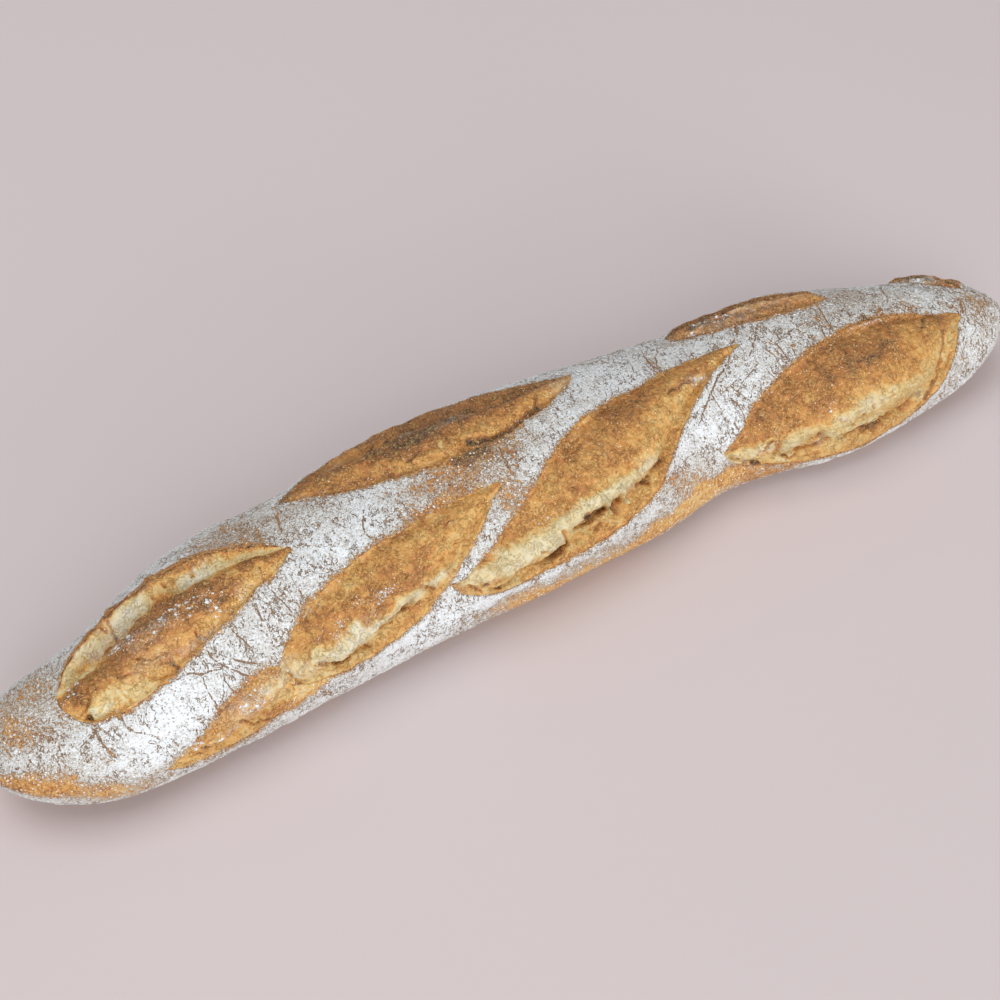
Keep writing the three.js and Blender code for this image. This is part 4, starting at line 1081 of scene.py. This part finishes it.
# Closes a grid of points: walls down from its rim and a floor that joins them.
def closedGrid(points, normal, rows, columns):
    grid = np.arange(rows * columns).reshape(rows, columns)
    quads = np.stack([grid[:-1, :-1], grid[:-1, 1:], grid[1:, 1:], grid[1:, :-1]], -1).reshape(-1, 4)
    rim = np.concatenate([grid[0, :], grid[1:, -1], grid[-1, -2::-1], grid[-2:0:-1, 0]])
    skirtPoints = points[rim] - crumb["skirt"] * normal[rim]
    ids = len(points) + np.arange(len(rim))
    walls = np.stack([np.roll(rim, -1), rim, ids, np.roll(ids, -1)], -1)
    toSkirt = np.zeros(rows * columns, int)
    toSkirt[rim] = ids
    left, right = toSkirt[grid[1:-1, 0]], toSkirt[grid[1:-1, -1]]
    floorQuads = np.stack([left[:-1], left[1:], right[1:], right[:-1]], -1)
    firstRow = [*toSkirt[grid[0, :]], right[0], left[0]]
    lastRow = [*toSkirt[grid[-1, ::-1]], left[-1], right[-1]]
    caps = [[int(k) for k in row[::-1]] for row in (firstRow, lastRow)]
    faces = quads.tolist() + walls.tolist() + floorQuads.tolist() + caps
    return np.concatenate([points, skirtPoints]), faces, rim


def makeCrumb(name, slash, seed):
    places, rows, columns = crumbGrid(slash)
    x = np.clip(places[:, 0], loaf["leftEnd"] + 0.5, loaf["rightEnd"] - 0.5)
    angle = places[:, 1] / loaf["mmPerDegree"]
    base = loafPoint(x, angle)
    depth, _ = depthInside(slash, places)
    _, across, fullness = placeIn(slash, places)
    edge, _ = edgeHeight(slash, places, depth, across, fullness)
    inside = smoothStep(depth, 0, crumb["softEdge"])
    warp = np.stack([softNoise(base, crumb["warpSize"], seed + k, 3) for k in (1, 2)], 1)
    warped = places + crumb["warp"] * warp
    swell = softNoise(base, crumb["swellSize"], seed + 3, 2)
    blister = np.abs(softNoise(base, crumb["blisterSize"], seed + 4, 2))
    fine = softNoise(base, crumb["fineSize"], seed + 5, 2)
    fibrePlace = np.stack([warped @ slash["along"], warped @ slash["across"] / crumb["fibreStretch"]], 1)
    fibre = softNoise(inSpace(fibrePlace), crumb["fibreSize"], seed + 7, 2)
    ridged = ridges(base + crumb["creaseWarp"] * inSpace(warp), crumb["creaseSize"], seed + 13)
    crease = smoothStep(ridged, crumb["creaseFrom"], 1) * smoothStep(swell, -0.5, 0.3)
    waver = softNoise(base, crumb["seamWaverSize"], seed + 17, 2) * np.sin(np.pi * np.clip(across, 0, 1))
    wavy = across + crumb["seamWaver"] * waver
    height = np.where(depth > 0, heightAcross(slash, places, wavy) * fullness, edge)
    bake = profile(slash["bakeAcross"], wavy + 0.03 * warp[:, 0])
    rise = np.zeros(len(places))
    strokeKeys = ("path", "width", "bake", "strength", "rise")
    strokes = [dict(zip(strokeKeys, stroke)) for stroke in slash["strokes"]]

    def brush(stroke, near, distance, share, side):
        cover = 1 - smoothStep(distance / stroke["width"], crumb["brushCore"], crumb["brushEdge"])
        bake[near] += cover * stroke["strength"] * (stroke["bake"] - bake[near])
        rise[near] += cover * stroke["rise"]

    alongStrokes(strokes, warped, 12, brush)
    cut = np.zeros(len(places))

    def tear(stroke, near, distance, share, side):
        ragged = 1 + crumb["tearRagged"] * softNoise(base[near], crumb["tearRaggedSize"], seed + 9, 2)
        depth = stroke["depth"] * ragged * tapered(share) * bell(distance, stroke["width"])
        cut[near] = np.maximum(cut[near], depth)

    alongStrokes(tears, warped, 6, tear)
    pale = 1 - smoothStep(bake, *crumb["paleUpTo"])
    pitFar, pitPick = cellNoise(base, crumb["pitSize"], seed + 11)
    pit = (pitPick < crumb["pitShare"]) * pale * (1 - smoothStep(pitFar, 0.1, 0.2 + 1.3 * pitPick))
    rough = crumb["swell"] * swell - crumb["blister"] * blister + crumb["fine"] * fine
    rough += crumb["fibre"] * fibre - crumb["crease"] * crease - crumb["pitDepth"] * pit
    height += inside * (rough + rise - cut) + lumpHeight(x, angle)
    height -= slashShape["tuck"] * (1 - smoothStep(depth, 0, crumb["tuckFade"]))
    height -= crumb["dive"] * smoothStep(-depth, *crumb["diveAt"])
    normal = loafNormal(x, angle)
    points = base + normal * height[:, None]
    # Creases, pits and torn hollows get darker: painted shade in them.
    change = crumb["bakeSwell"] * swell - crumb["bakeBlister"] * (blister - 0.3)
    change += crumb["creaseShade"] * crease - crumb["bakeFine"] * fine - crumb["bakeFibre"] * fibre
    bake += change * (1 - 0.4 * pale) + crumb["pitShade"] * pit
    bake += crumb["tearShade"] * smoothStep(cut, 0.7, 2.6)
    haze = patchSum(slash["haze"], warped) * (0.8 + 0.5 * swell)
    spilt = crumb["edgeFlour"] * bell(depth - crumb["edgeFlourAt"], crumb["edgeFlourReach"])
    spilt *= smoothStep(depth, 0.2, 0.7) * np.clip(0.5 + warp[:, 0], 0, 1)
    spilt *= 1 - smoothStep(across, *slashShape["earSide"])
    flecks = patchSum(slash["flecks"], warped)
    clumpFar, clumpPick = cellNoise(base + 0.5 * inSpace(warp), crumb["clumpSize"], seed + 15)
    clump = (clumpPick < crumb["clumpShare"]) * (1 - smoothStep(clumpFar, 0.2, 0.35 + 0.8 * clumpPick))
    clump *= smoothStep(flecks, *crumb["clumpFlecks"])
    points += (crumb["clumpRise"] * clump * inside)[:, None] * normal
    flour = np.minimum(flecks, crumb["mostFlecks"]) + crumb["clumpFlour"] * clump + spilt
    loose = (depth > 0.4) * np.clip(crumb["leastLoose"] + flour, 0, 1)
    values = {"flour": np.clip(flour, 0, 1), "bake": np.clip(bake, 0, 1.2), "haze": np.clip(haze, 0, 1)}
    values["loose"] = loose
    points, faces, rim = closedGrid(points, normal, rows, columns)
    values = {label: np.r_[value, value[rim]] for label, value in values.items()}
    return makeMesh(name, points, faces, values)


def fillSockets(tree, node, inputs):
    for key, value in inputs.items():
        if isinstance(value, bpy.types.NodeSocket):
            tree.links.new(value, node.inputs[key])
        else:
            node.inputs[key].default_value = value


def addNode(tree, kind, inputs=None, **settings):
    node = tree.nodes.new(kind)
    for name, value in settings.items():
        setattr(node, name, value)
    fillSockets(tree, node, inputs or {})
    return node


def calc(tree, operation, a, b=0.0, c=0.0):
    return addNode(tree, "ShaderNodeMath", {0: a, 1: b, 2: c}, operation=operation).outputs[0]


def between(tree, value, low, high, toLow=0.0, toHigh=1.0, course="SMOOTHSTEP"):
    inputs = {0: value, 1: low, 2: high, 3: toLow, 4: toHigh}
    return addNode(tree, "ShaderNodeMapRange", inputs, interpolation_type=course).outputs[0]


def blendColour(tree, share, a, b):
    return addNode(tree, "ShaderNodeMix", {0: share, 6: a, 7: b}, data_type="RGBA").outputs[2]


# Noise from 0 to 1, with grains of a size in millimetres.
def grain(tree, place, size, detail=2.0, roughness=0.55, twist=0.0):
    inputs = {"Vector": place, "Scale": 1 / size, "Detail": detail, "Roughness": roughness}
    inputs["Distortion"] = twist
    return addNode(tree, "ShaderNodeTexNoise", inputs).outputs["Fac"]


def attribute(tree, label):
    return addNode(tree, "ShaderNodeAttribute", attribute_name=label).outputs["Fac"]


# A colour by its sRGB values from 0 to 255.
def colour(red, green, blue):
    channels = np.array([red, green, blue]) / 255
    linear = np.where(channels <= 0.04045, channels / 12.92, ((channels + 0.055) / 1.055) ** 2.4)
    return (*linear.tolist(), 1.0)


# Starts a shader node group. Sockets are (name, kind, default) for inputs and (name, kind) for outputs.
def startGroup(name, inputs, outputs):
    group = bpy.data.node_groups.new(name, "ShaderNodeTree")
    for label, kind, default in inputs:
        socket = group.interface.new_socket(label, in_out="INPUT", socket_type=kind)
        if default is not None:
            socket.default_value = default
    for label, kind in outputs:
        group.interface.new_socket(label, in_out="OUTPUT", socket_type=kind)
    return group, group.nodes.new("NodeGroupInput").outputs, group.nodes.new("NodeGroupOutput").inputs


def useGroup(tree, group, inputs):
    return addNode(tree, "ShaderNodeGroup", inputs, node_tree=group).outputs
# Colours of the baking, from pale crumb to burnt crust, of the painted highlights and of the flour.
baking = {
    "colours": [
        (0.0, (220, 212, 184)), (0.14, (211, 196, 152)), (0.3, (208, 178, 118)), (0.44, (204, 153, 82)),
        (0.58, (181, 120, 58)), (0.74, (148, 92, 44)), (0.9, (106, 69, 38)), (1.0, (72, 47, 31)),
    ],
    "changes": [  # size in millimetres, strength, detail and twist of each kind of patch
        (9.0, 0.4, 3.0, 1.0), (3.4, 0.08, 3.0, 1.6), (0.65, 0.3, 2.0, 0.0),
    ],
    "paleChange": 0.35,  # share of the changes left on pale crumb
    "curlSize": 2.2,  # thin curling lines: a painted highlight next to a painted shade, like the lit and shaded sides of small folds
    "curlLevels": (0.5, 0.55),
    "curl": 0.14,
    "curlWidth": 0.05,
    "curlShine": 0.45,
    "curlGateSize": 5.0,
    # Glints are painted highlights: small pale dots of the glint colour over the baked colour.
    "glintSize": 0.55,
    "glintFrom": (0.58, 0.69),
    "glintShare": 0.75,
    "glint": (246, 207, 132),
    "thickFlour": (229, 233, 236),
    "thinFlour": (202, 193, 180),
    # Grey-brown of the crust in small gaps of thick flour: flour dust over the crust and painted shade in the
    # gaps.
    "specks": (106, 88, 76),
    "haze": (216, 212, 198),
}


def makeBakeWithPaintedLightGroup():
    group, given, out = startGroup(
        "bakeWithPaintedLight",
        [("Place", "NodeSocketVector", None), ("Bake", "NodeSocketFloat", 0.5)],
        [("Colour", "NodeSocketColor"), ("Curls", "NodeSocketFloat")],
    )
    change = 0.0
    for size, amount, detail, twist in baking["changes"]:
        centred = calc(group, "SUBTRACT", grain(group, given["Place"], size, detail, 0.6, twist), 0.5)
        change = calc(group, "MULTIPLY_ADD", centred, amount, change)
    strength = between(group, given["Bake"], 0.05, 0.4, baking["paleChange"], 1.0)
    bake = calc(group, "MULTIPLY_ADD", change, strength, given["Bake"])
    # Curls: one line is a painted highlight and the next darkens the bake as painted shade, like tiny folds;
    # both also feed the bump.
    curls = grain(group, given["Place"], baking["curlSize"], 2, 0.5, 1.4)
    gate = between(group, grain(group, given["Place"], baking["curlGateSize"], 2), 0.36, 0.52)
    lines = []
    for level in baking["curlLevels"]:
        offLine = calc(group, "ABSOLUTE", calc(group, "SUBTRACT", curls, level))
        line = between(group, offLine, 0.0, baking["curlWidth"], 1.0, 0.0)
        lines.append(calc(group, "MULTIPLY", line, gate))
    bake = calc(group, "MULTIPLY_ADD", lines[1], baking["curl"], bake)
    ramp = addNode(group, "ShaderNodeValToRGB", {"Fac": bake})
    elements = ramp.color_ramp.elements
    while len(elements) < len(baking["colours"]):
        elements.new(0.5)
    for element, (position, shade) in zip(elements, baking["colours"]):
        element.position = position
        element.color = colour(*shade)
    # Painted highlights: small glints and the bright line of each curl.
    glints = grain(group, given["Place"], baking["glintSize"], 2, 0.6, 1.0)
    shine = between(group, glints, *baking["glintFrom"], 0.0, baking["glintShare"])
    bright = calc(group, "MAXIMUM", shine, calc(group, "MULTIPLY", lines[0], baking["curlShine"]))
    shone = blendColour(group, bright, ramp.outputs["Color"], colour(*baking["glint"]))
    group.links.new(shone, out["Colour"])
    group.links.new(calc(group, "SUBTRACT", lines[0], lines[1]), out["Curls"])
    return group


# Flour on a surface: its mask, how thick it lies and the bare specks in it.
flourDust = {
    "clumpSize": 4.5,
    "flakeSize": 0.9,
    "grainSize": 0.5,
    "mix": (2.0, 2.6, 4.4),  # weights of clumps, flakes and grains
    "barest": -2.0,
    "fullest": 2.2,
    "speckSize": 0.85,  # distance between the bare specks in the flour
    "speckReach": 0.4,
    "speckRagged": 0.9,
}


def makeFlourGroup():
    group, given, out = startGroup(
        "flourDust",
        [("Place", "NodeSocketVector", None), ("Cover", "NodeSocketFloat", 0.5)],
        [("Mask", "NodeSocketFloat"), ("Thickness", "NodeSocketFloat"), ("Specks", "NodeSocketFloat")],
    )
    lifted = between(group, given["Cover"], 0.0, 1.0, flourDust["barest"], flourDust["fullest"], "LINEAR")
    grains = (("clumpSize", 4.0), ("flakeSize", 2.0), ("grainSize", 1.0))
    for (size, detail), weight in zip(grains, flourDust["mix"]):
        centred = calc(group, "SUBTRACT", grain(group, given["Place"], flourDust[size], detail, 0.7), 0.5)
        lifted = calc(group, "MULTIPLY_ADD", centred, weight, lifted)
    group.links.new(between(group, lifted, -0.5, 0.5), out["Mask"])
    group.links.new(between(group, lifted, 0.0, 2.0), out["Thickness"])
    raggedness = flourDust["speckRagged"]
    waver = addNode(group, "ShaderNodeTexNoise", {"Vector": given["Place"], "Scale": 1 / raggedness})
    inputs = {0: waver.outputs["Color"], 1: (raggedness,) * 3, 2: given["Place"]}
    ragged = addNode(group, "ShaderNodeVectorMath", inputs, operation="MULTIPLY_ADD").outputs[0]
    cells = addNode(group, "ShaderNodeTexVoronoi", {"Vector": ragged, "Scale": 1 / flourDust["speckSize"]})
    reach = between(group, cells.outputs["Color"], 0.35, 0.85, 0.0, flourDust["speckReach"], "LINEAR")
    nearSpeck = calc(group, "SUBTRACT", cells.outputs["Distance"], reach)
    group.links.new(between(group, nearSpeck, -0.08, 0.04, 1.0, 0.0), out["Specks"])
    return group


fineFolds = {
    "size": 3.6,
    "squash": (1.5, 0.75, 0.75),
    "width": 0.03,
    "gateSize": 8.0,
    "gate": (0.42, 0.58),
}


# Thin lines where the crust is folded.
def makeWrinkleGroup():
    group, given, out = startGroup(
        "fineWrinkles",
        [("Place", "NodeSocketVector", None), ("Amount", "NodeSocketFloat", 1.0)],
        [("Mask", "NodeSocketFloat")],
    )
    squashed = addNode(group, "ShaderNodeMapping", {"Vector": given["Place"], "Scale": fineFolds["squash"]})
    folds = calc(group, "SUBTRACT", grain(group, squashed.outputs[0], fineFolds["size"], 3, 0.6), 0.5)
    line = between(group, calc(group, "ABSOLUTE", folds), 0.0, fineFolds["width"], 1.0, 0.0)
    gate = between(group, grain(group, given["Place"], fineFolds["gateSize"], 2), *fineFolds["gate"])
    gated = calc(group, "MULTIPLY", line, gate)
    group.links.new(calc(group, "MULTIPLY", gated, given["Amount"]), out["Mask"])
    return group


# A new material, its tree and shader, and the place on the object in millimetres.
def startMaterial(name):
    material = bpy.data.materials.new(name)
    material.use_nodes = True
    tree = material.node_tree
    shader = tree.nodes["Principled BSDF"]
    objectPlace = addNode(tree, "ShaderNodeTexCoord").outputs["Object"]
    scaled = addNode(tree, "ShaderNodeVectorMath", {0: objectPlace, "Scale": 1000.0}, operation="SCALE")
    return material, tree, shader, scaled.outputs[0]


# Heights are in millimetres.
def addBump(tree, shader, heights):
    total = 0.0
    for height, weight in heights:
        total = calc(tree, "MULTIPLY_ADD", height, weight, total)
    bump = addNode(tree, "ShaderNodeBump", {"Height": total, "Distance": 0.001})
    tree.links.new(bump.outputs[0], shader.inputs["Normal"])


crustLook = {
    "mottle": 1.3,  # darker and paler specks in the bare crust, drawn out upwards
    "mottleSize": 1.0,
    "mottleSquash": (1, 1, 0.4),
    "crackWaver": 2.2,  # in half widths of the crack
    "crackFade": (0.35, 1.1),
    "crackStrength": 0.85,
    "crackGaps": (0.38, 0.5),  # flour bridges a crack where this noise is low
    "crackGapSize": 2.6,
    "crackInGaps": 0.25,
    "wrinkles": 0.7,
    "greyFrom": (0.4, 0.72),  # bare specks turn grey where the flour is this thick: flour dust over the crust and painted shade in the gaps
    "grey": 0.75,
    "greyByCrack": -0.12,
    "speckFrom": (0.2, 0.6),
    "speckShow": (0.2, 0.72),
    "bareRoughness": 0.5,
    "flourRoughness": 0.95,
    "bump": {"mask": 0.2, "thickness": 0.25, "specks": -0.15, "grit": 0.5},
    "gritSize": 1.3,
}


def makeCrustMaterial():
    material, tree, shader, place = startMaterial("floured crust")
    squash = {"Vector": place, "Scale": crustLook["mottleSquash"]}
    upright = addNode(tree, "ShaderNodeMapping", squash).outputs[0]
    mottle = calc(tree, "SUBTRACT", grain(tree, upright, crustLook["mottleSize"], 3, 0.7), 0.5)
    bake = calc(tree, "MULTIPLY_ADD", mottle, crustLook["mottle"], attribute(tree, "bake"))
    baked = useGroup(tree, bakeWithPaintedLight, {"Place": place, "Bake": bake})["Colour"]
    waver = calc(tree, "SUBTRACT", grain(tree, place, 1.0, 2, 0.6), 0.5)
    fromCrack = calc(tree, "MULTIPLY_ADD", waver, crustLook["crackWaver"], attribute(tree, "crack"))
    fromCrack = calc(tree, "ABSOLUTE", fromCrack)
    gaps = grain(tree, place, crustLook["crackGapSize"], 2)
    broken = between(tree, gaps, *crustLook["crackGaps"], crustLook["crackInGaps"], 1.0)
    line = between(tree, fromCrack, *crustLook["crackFade"], crustLook["crackStrength"], 0.0)
    crack = calc(tree, "MULTIPLY", calc(tree, "MULTIPLY", line, attribute(tree, "byCrack")), broken)
    wrinkle = useGroup(tree, fineWrinkles, {"Place": place, "Amount": crustLook["wrinkles"]})["Mask"]
    flour = attribute(tree, "flour")
    cover = calc(tree, "SUBTRACT", calc(tree, "SUBTRACT", flour, crack), wrinkle)
    dust = useGroup(tree, flourLayer, {"Place": place, "Cover": cover})
    # Bare crust in thick flour turns grey: flour dust and painted shade in the gaps.
    underFlour = calc(tree, "MULTIPLY_ADD", crack, crustLook["greyByCrack"], flour)
    greying = between(tree, underFlour, *crustLook["greyFrom"], 0.0, crustLook["grey"])
    bare = blendColour(tree, greying, baked, colour(*baking["specks"]))
    thin, thick = colour(*baking["thinFlour"]), colour(*baking["thickFlour"])
    floured = blendColour(tree, dust["Mask"], bare, blendColour(tree, dust["Thickness"], thin, thick))
    speckShow = between(tree, flour, *crustLook["speckFrom"], *crustLook["speckShow"])
    specked = blendColour(tree, calc(tree, "MULTIPLY", dust["Specks"], speckShow), floured, bare)
    rough = between(tree, dust["Mask"], 0.0, 1.0, crustLook["bareRoughness"], crustLook["flourRoughness"])
    tree.links.new(specked, shader.inputs["Base Color"])
    tree.links.new(rough, shader.inputs["Roughness"])
    bump = crustLook["bump"]
    grit = grain(tree, place, crustLook["gritSize"], 3, 0.65)
    addBump(tree, shader, [(dust["Mask"], bump["mask"]), (dust["Thickness"], bump["thickness"]),
                           (dust["Specks"], bump["specks"]), (grit, bump["grit"])])
    return material


crumbLook = {
    "veilSize": 2.2,
    "glossiest": 0.34,
    "mattest": 0.7,
    "tornRoughness": 0.8,
    "tornUpTo": (0.15, 0.45),  # bake of the dull torn faces
    "bump": {"mask": 0.12, "grit": 0.4, "folds": 0.5, "curls": 0.16},
    "gritSize": 0.8,
    "foldSize": 2.4,
}


def makeCrumbMaterial():
    material, tree, shader, place = startMaterial("burst crumb")
    bake = attribute(tree, "bake")
    skin = useGroup(tree, bakeWithPaintedLight, {"Place": place, "Bake": bake})
    dust = useGroup(tree, flourLayer, {"Place": place, "Cover": attribute(tree, "flour")})
    cloudy = between(tree, grain(tree, place, crumbLook["veilSize"], 3), 0.3, 0.7)
    veil = calc(tree, "MULTIPLY", attribute(tree, "haze"), cloudy)
    dusty = blendColour(tree, veil, skin["Colour"], colour(*baking["haze"]))
    floured = blendColour(tree, dust["Mask"], dusty, colour(*baking["thickFlour"]))
    tree.links.new(floured, shader.inputs["Base Color"])
    sheen = grain(tree, place, 1.2, 2)
    rough = between(tree, sheen, 0.3, 0.7, crumbLook["glossiest"], crumbLook["mattest"])
    matte = between(tree, bake, *crumbLook["tornUpTo"], crumbLook["tornRoughness"], 0.0)
    tree.links.new(calc(tree, "MAXIMUM", rough, matte), shader.inputs["Roughness"])
    bump = crumbLook["bump"]
    grit = grain(tree, place, crumbLook["gritSize"], 2, 0.7)
    folds = grain(tree, place, crumbLook["foldSize"], 3)
    addBump(tree, shader, [(dust["Mask"], bump["mask"]), (grit, bump["grit"]), (folds, bump["folds"]),
                           (skin["Curls"], bump["curls"])])
    return material
bakeWithPaintedLight = makeBakeWithPaintedLightGroup()
flourLayer = makeFlourGroup()
fineWrinkles = makeWrinkleGroup()
crustMaterial = makeCrustMaterial()
crumbMaterial = makeCrumbMaterial()
print("materials made")


def finishPiece(piece, material):
    piece.data.materials.clear()
    piece.data.materials.append(material)
    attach(piece, "root")
    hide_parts("baguette_loaf")
    triangles = sum(len(polygon.vertices) - 2 for polygon in piece.data.polygons)
    print(piece.name, triangles, "triangles")


crustPiece = makeCrust()
finishPiece(crustPiece, crustMaterial)
crumbPieces = []
for number, (letter, slash) in enumerate(slashes.items()):
    crumbPieces.append(makeCrumb("crumb_" + letter, slash, 20 + 12 * number))
    finishPiece(crumbPieces[-1], crumbMaterial)

# Loose flour: small flattened grains, strewn by geometry nodes over a surface by its loose attribute.
looseFlour = {
    "onCrust": 0.31,  # grains for each square millimetre where loose is 1
    "onCrumb": 0.8,
    "crustGrains": (0.16, 0.42),  # smallest and largest, in millimetres
    "crumbGrains": (0.12, 0.28),
    "narrowness": 0.8,
    "flatness": 0.55,
    "raggedness": 0.5,
    "crustColours": [(214, 208, 200), (236, 238, 238)],
    "crumbColours": [(206, 178, 136), (236, 222, 196)],
}


def makeStrewGroup():
    group = bpy.data.node_groups.new("strewGrains", "GeometryNodeTree")
    sockets = {
        "Surface": "NodeSocketGeometry",
        "Grains Per Square Metre": "NodeSocketFloat",
        "Smallest": "NodeSocketFloat",
        "Largest": "NodeSocketFloat",
        "Raggedness": "NodeSocketFloat",
        "Seed": "NodeSocketInt",
        "Material": "NodeSocketMaterial",
    }
    identifiers = {}
    for label, kind in sockets.items():
        socket = group.interface.new_socket(label, in_out="INPUT", socket_type=kind)
        identifiers[label] = socket.identifier
    group.interface.new_socket("Grains", in_out="OUTPUT", socket_type="NodeSocketGeometry")
    given = group.nodes.new("NodeGroupInput").outputs
    loose = addNode(group, "GeometryNodeInputNamedAttribute", {"Name": "loose"}, data_type="FLOAT").outputs[0]
    density = calc(group, "MULTIPLY", loose, given["Grains Per Square Metre"])
    spread = {"Mesh": given["Surface"], "Density": density, "Seed": given["Seed"]}
    points = addNode(group, "GeometryNodeDistributePointsOnFaces", spread).outputs
    ball = addNode(group, "GeometryNodeMeshIcoSphere", {"Radius": 1.0, "Subdivisions": 1}).outputs["Mesh"]
    corners = {"Seed": 4, 0: (-1, -1, -1), 1: (1, 1, 1)}
    shake = addNode(group, "FunctionNodeRandomValue", corners, data_type="FLOAT_VECTOR").outputs[0]
    shaken = {0: shake, "Scale": given["Raggedness"]}
    offset = addNode(group, "ShaderNodeVectorMath", shaken, operation="SCALE").outputs[0]
    grainShape = addNode(group, "GeometryNodeSetPosition", {"Geometry": ball, "Offset": offset}).outputs[0]
    sizes = {"Seed": given["Seed"], 2: given["Smallest"], 3: given["Largest"]}
    size = addNode(group, "FunctionNodeRandomValue", sizes, data_type="FLOAT").outputs[1]
    turns = {"Seed": given["Seed"], 0: (0, 0, 0), 1: (0, 0, 6.28)}
    spin = addNode(group, "FunctionNodeRandomValue", turns, data_type="FLOAT_VECTOR").outputs[0]
    turn = addNode(group, "FunctionNodeEulerToRotation", {0: spin}).outputs[0]
    turned = {0: points["Rotation"], 1: turn}
    facing = addNode(group, "FunctionNodeRotateRotation", turned, rotation_space="LOCAL").outputs[0]
    narrow = calc(group, "MULTIPLY", size, looseFlour["narrowness"])
    thin = calc(group, "MULTIPLY", size, looseFlour["flatness"])
    scale = addNode(group, "ShaderNodeCombineXYZ", {0: size, 1: narrow, 2: thin}).outputs[0]
    placed = {"Points": points["Points"], "Instance": grainShape, "Rotation": facing, "Scale": scale}
    instances = addNode(group, "GeometryNodeInstanceOnPoints", placed).outputs[0]
    whole = addNode(group, "GeometryNodeRealizeInstances", {"Geometry": instances}).outputs[0]
    dressed = addNode(group, "GeometryNodeSetMaterial", {"Geometry": whole, "Material": given["Material"]})
    group.links.new(dressed.outputs[0], group.nodes.new("NodeGroupOutput").inputs[0])
    return group, identifiers


def makeFlourMaterial(name, colours):
    material, tree, shader, place = startMaterial(name)
    tint = between(tree, grain(tree, place, 0.9, 2), 0.35, 0.65)
    thin, thick = (colour(*shade) for shade in colours)
    tree.links.new(blendColour(tree, tint, thin, thick), shader.inputs["Base Color"])
    shader.inputs["Roughness"].default_value = 0.95
    return material


# Strews grains over the surfaces and joins them into one plain mesh.
def strew(name, surfaces, perSquareMillimetre, sizes, material, seed):
    inputs = {
        "Grains Per Square Metre": perSquareMillimetre * 1e6,
        "Smallest": sizes[0] / 1000,
        "Largest": sizes[1] / 1000,
        "Raggedness": looseFlour["raggedness"],
        "Seed": seed,
        "Material": material,
    }
    joined = bmesh.new()
    for surface in surfaces:
        carrier = addObject("carrier", surface.data)
        modifier = carrier.modifiers.new("strew", "NODES")
        modifier.node_group = strewGroup
        for label, value in inputs.items():
            modifier[strewInputs[label]] = value
        evaluated = carrier.evaluated_get(bpy.context.evaluated_depsgraph_get())
        grains = bpy.data.meshes.new_from_object(evaluated)
        joined.from_mesh(grains)
        bpy.data.objects.remove(carrier)
    mesh = bpy.data.meshes.new(name)
    joined.to_mesh(mesh)
    joined.free()
    return addObject(name, mesh)


strewGroup, strewInputs = makeStrewGroup()
for name, surfaces, seed in (("Crust", [crustPiece], 3), ("Crumb", crumbPieces, 5)):
    key = name.lower()
    material = makeFlourMaterial("loose flour on " + key, looseFlour[key + "Colours"])
    density, sizes = looseFlour["on" + name], looseFlour[key + "Grains"]
    finishPiece(strew("flour_on_" + key, surfaces, density, sizes, material, seed), material)

# Floor, light and camera
studio = {
    "floorColour": (206, 194, 194),
    "floorRoughness": 0.9,
    "softboxes": {  # place and size in metres, and watts
        "overhead": ((-0.3, 0.1, 1.4), 0.9, 8.5),
        "front": ((-0.9, -2.16, 1.8), 1.6, 24.5),
        "lowFront": ((0.54, -2.34, 0.29), 1.4, 40),
    },
    "worldColour": (0.95, 0.97, 1.0, 1),
    "worldStrength": 0.45,
    "cameraTurn": -28.57,  # degrees round the loaf from the front
    "cameraRise": 56,
    "cameraDistance": 0.6984,
    "lens": 70,
    "aim": (0.0002 + boxShift[0] / 1000, 0.0040 + boxShift[1] / 1000, 0.025),
}
bpy.ops.mesh.primitive_plane_add(size=6, location=(0, 0, -0.0002))
floor = bpy.context.object
floor.name = "floor"
floorMaterial = bpy.data.materials.new("pale floor")
floorMaterial.use_nodes = True
floorShader = floorMaterial.node_tree.nodes["Principled BSDF"]
floorShader.inputs["Base Color"].default_value = colour(*studio["floorColour"])
floorShader.inputs["Roughness"].default_value = studio["floorRoughness"]
floor.data.materials.append(floorMaterial)

for name, (place, size, watts) in studio["softboxes"].items():
    light = bpy.data.lights.new(name, "AREA")
    light.size = size
    light.energy = watts
    box = addObject(name, light)
    box.location = place
    box.rotation_euler = (-Vector(place)).to_track_quat("-Z", "Y").to_euler()
world = bpy.data.worlds.new("studio")
world.use_nodes = True
fillSockets(world.node_tree, world.node_tree.nodes["Background"], {
    "Color": studio["worldColour"], "Strength": studio["worldStrength"],
})
bpy.context.scene.world = world
bpy.context.scene.view_settings.view_transform = "Standard"

turn, rise = np.radians(studio["cameraTurn"]), np.radians(studio["cameraRise"])
back = Vector((np.sin(turn) * np.cos(rise), -np.cos(turn) * np.cos(rise), np.sin(rise)))
camera = addObject("camera", bpy.data.cameras.new("camera"))
camera.data.lens = studio["lens"]
camera.location = Vector(studio["aim"]) + back * studio["cameraDistance"]
camera.rotation_euler = (-back).to_track_quat("-Z", "Y").to_euler()
bpy.context.scene.camera = camera
print("studio set")
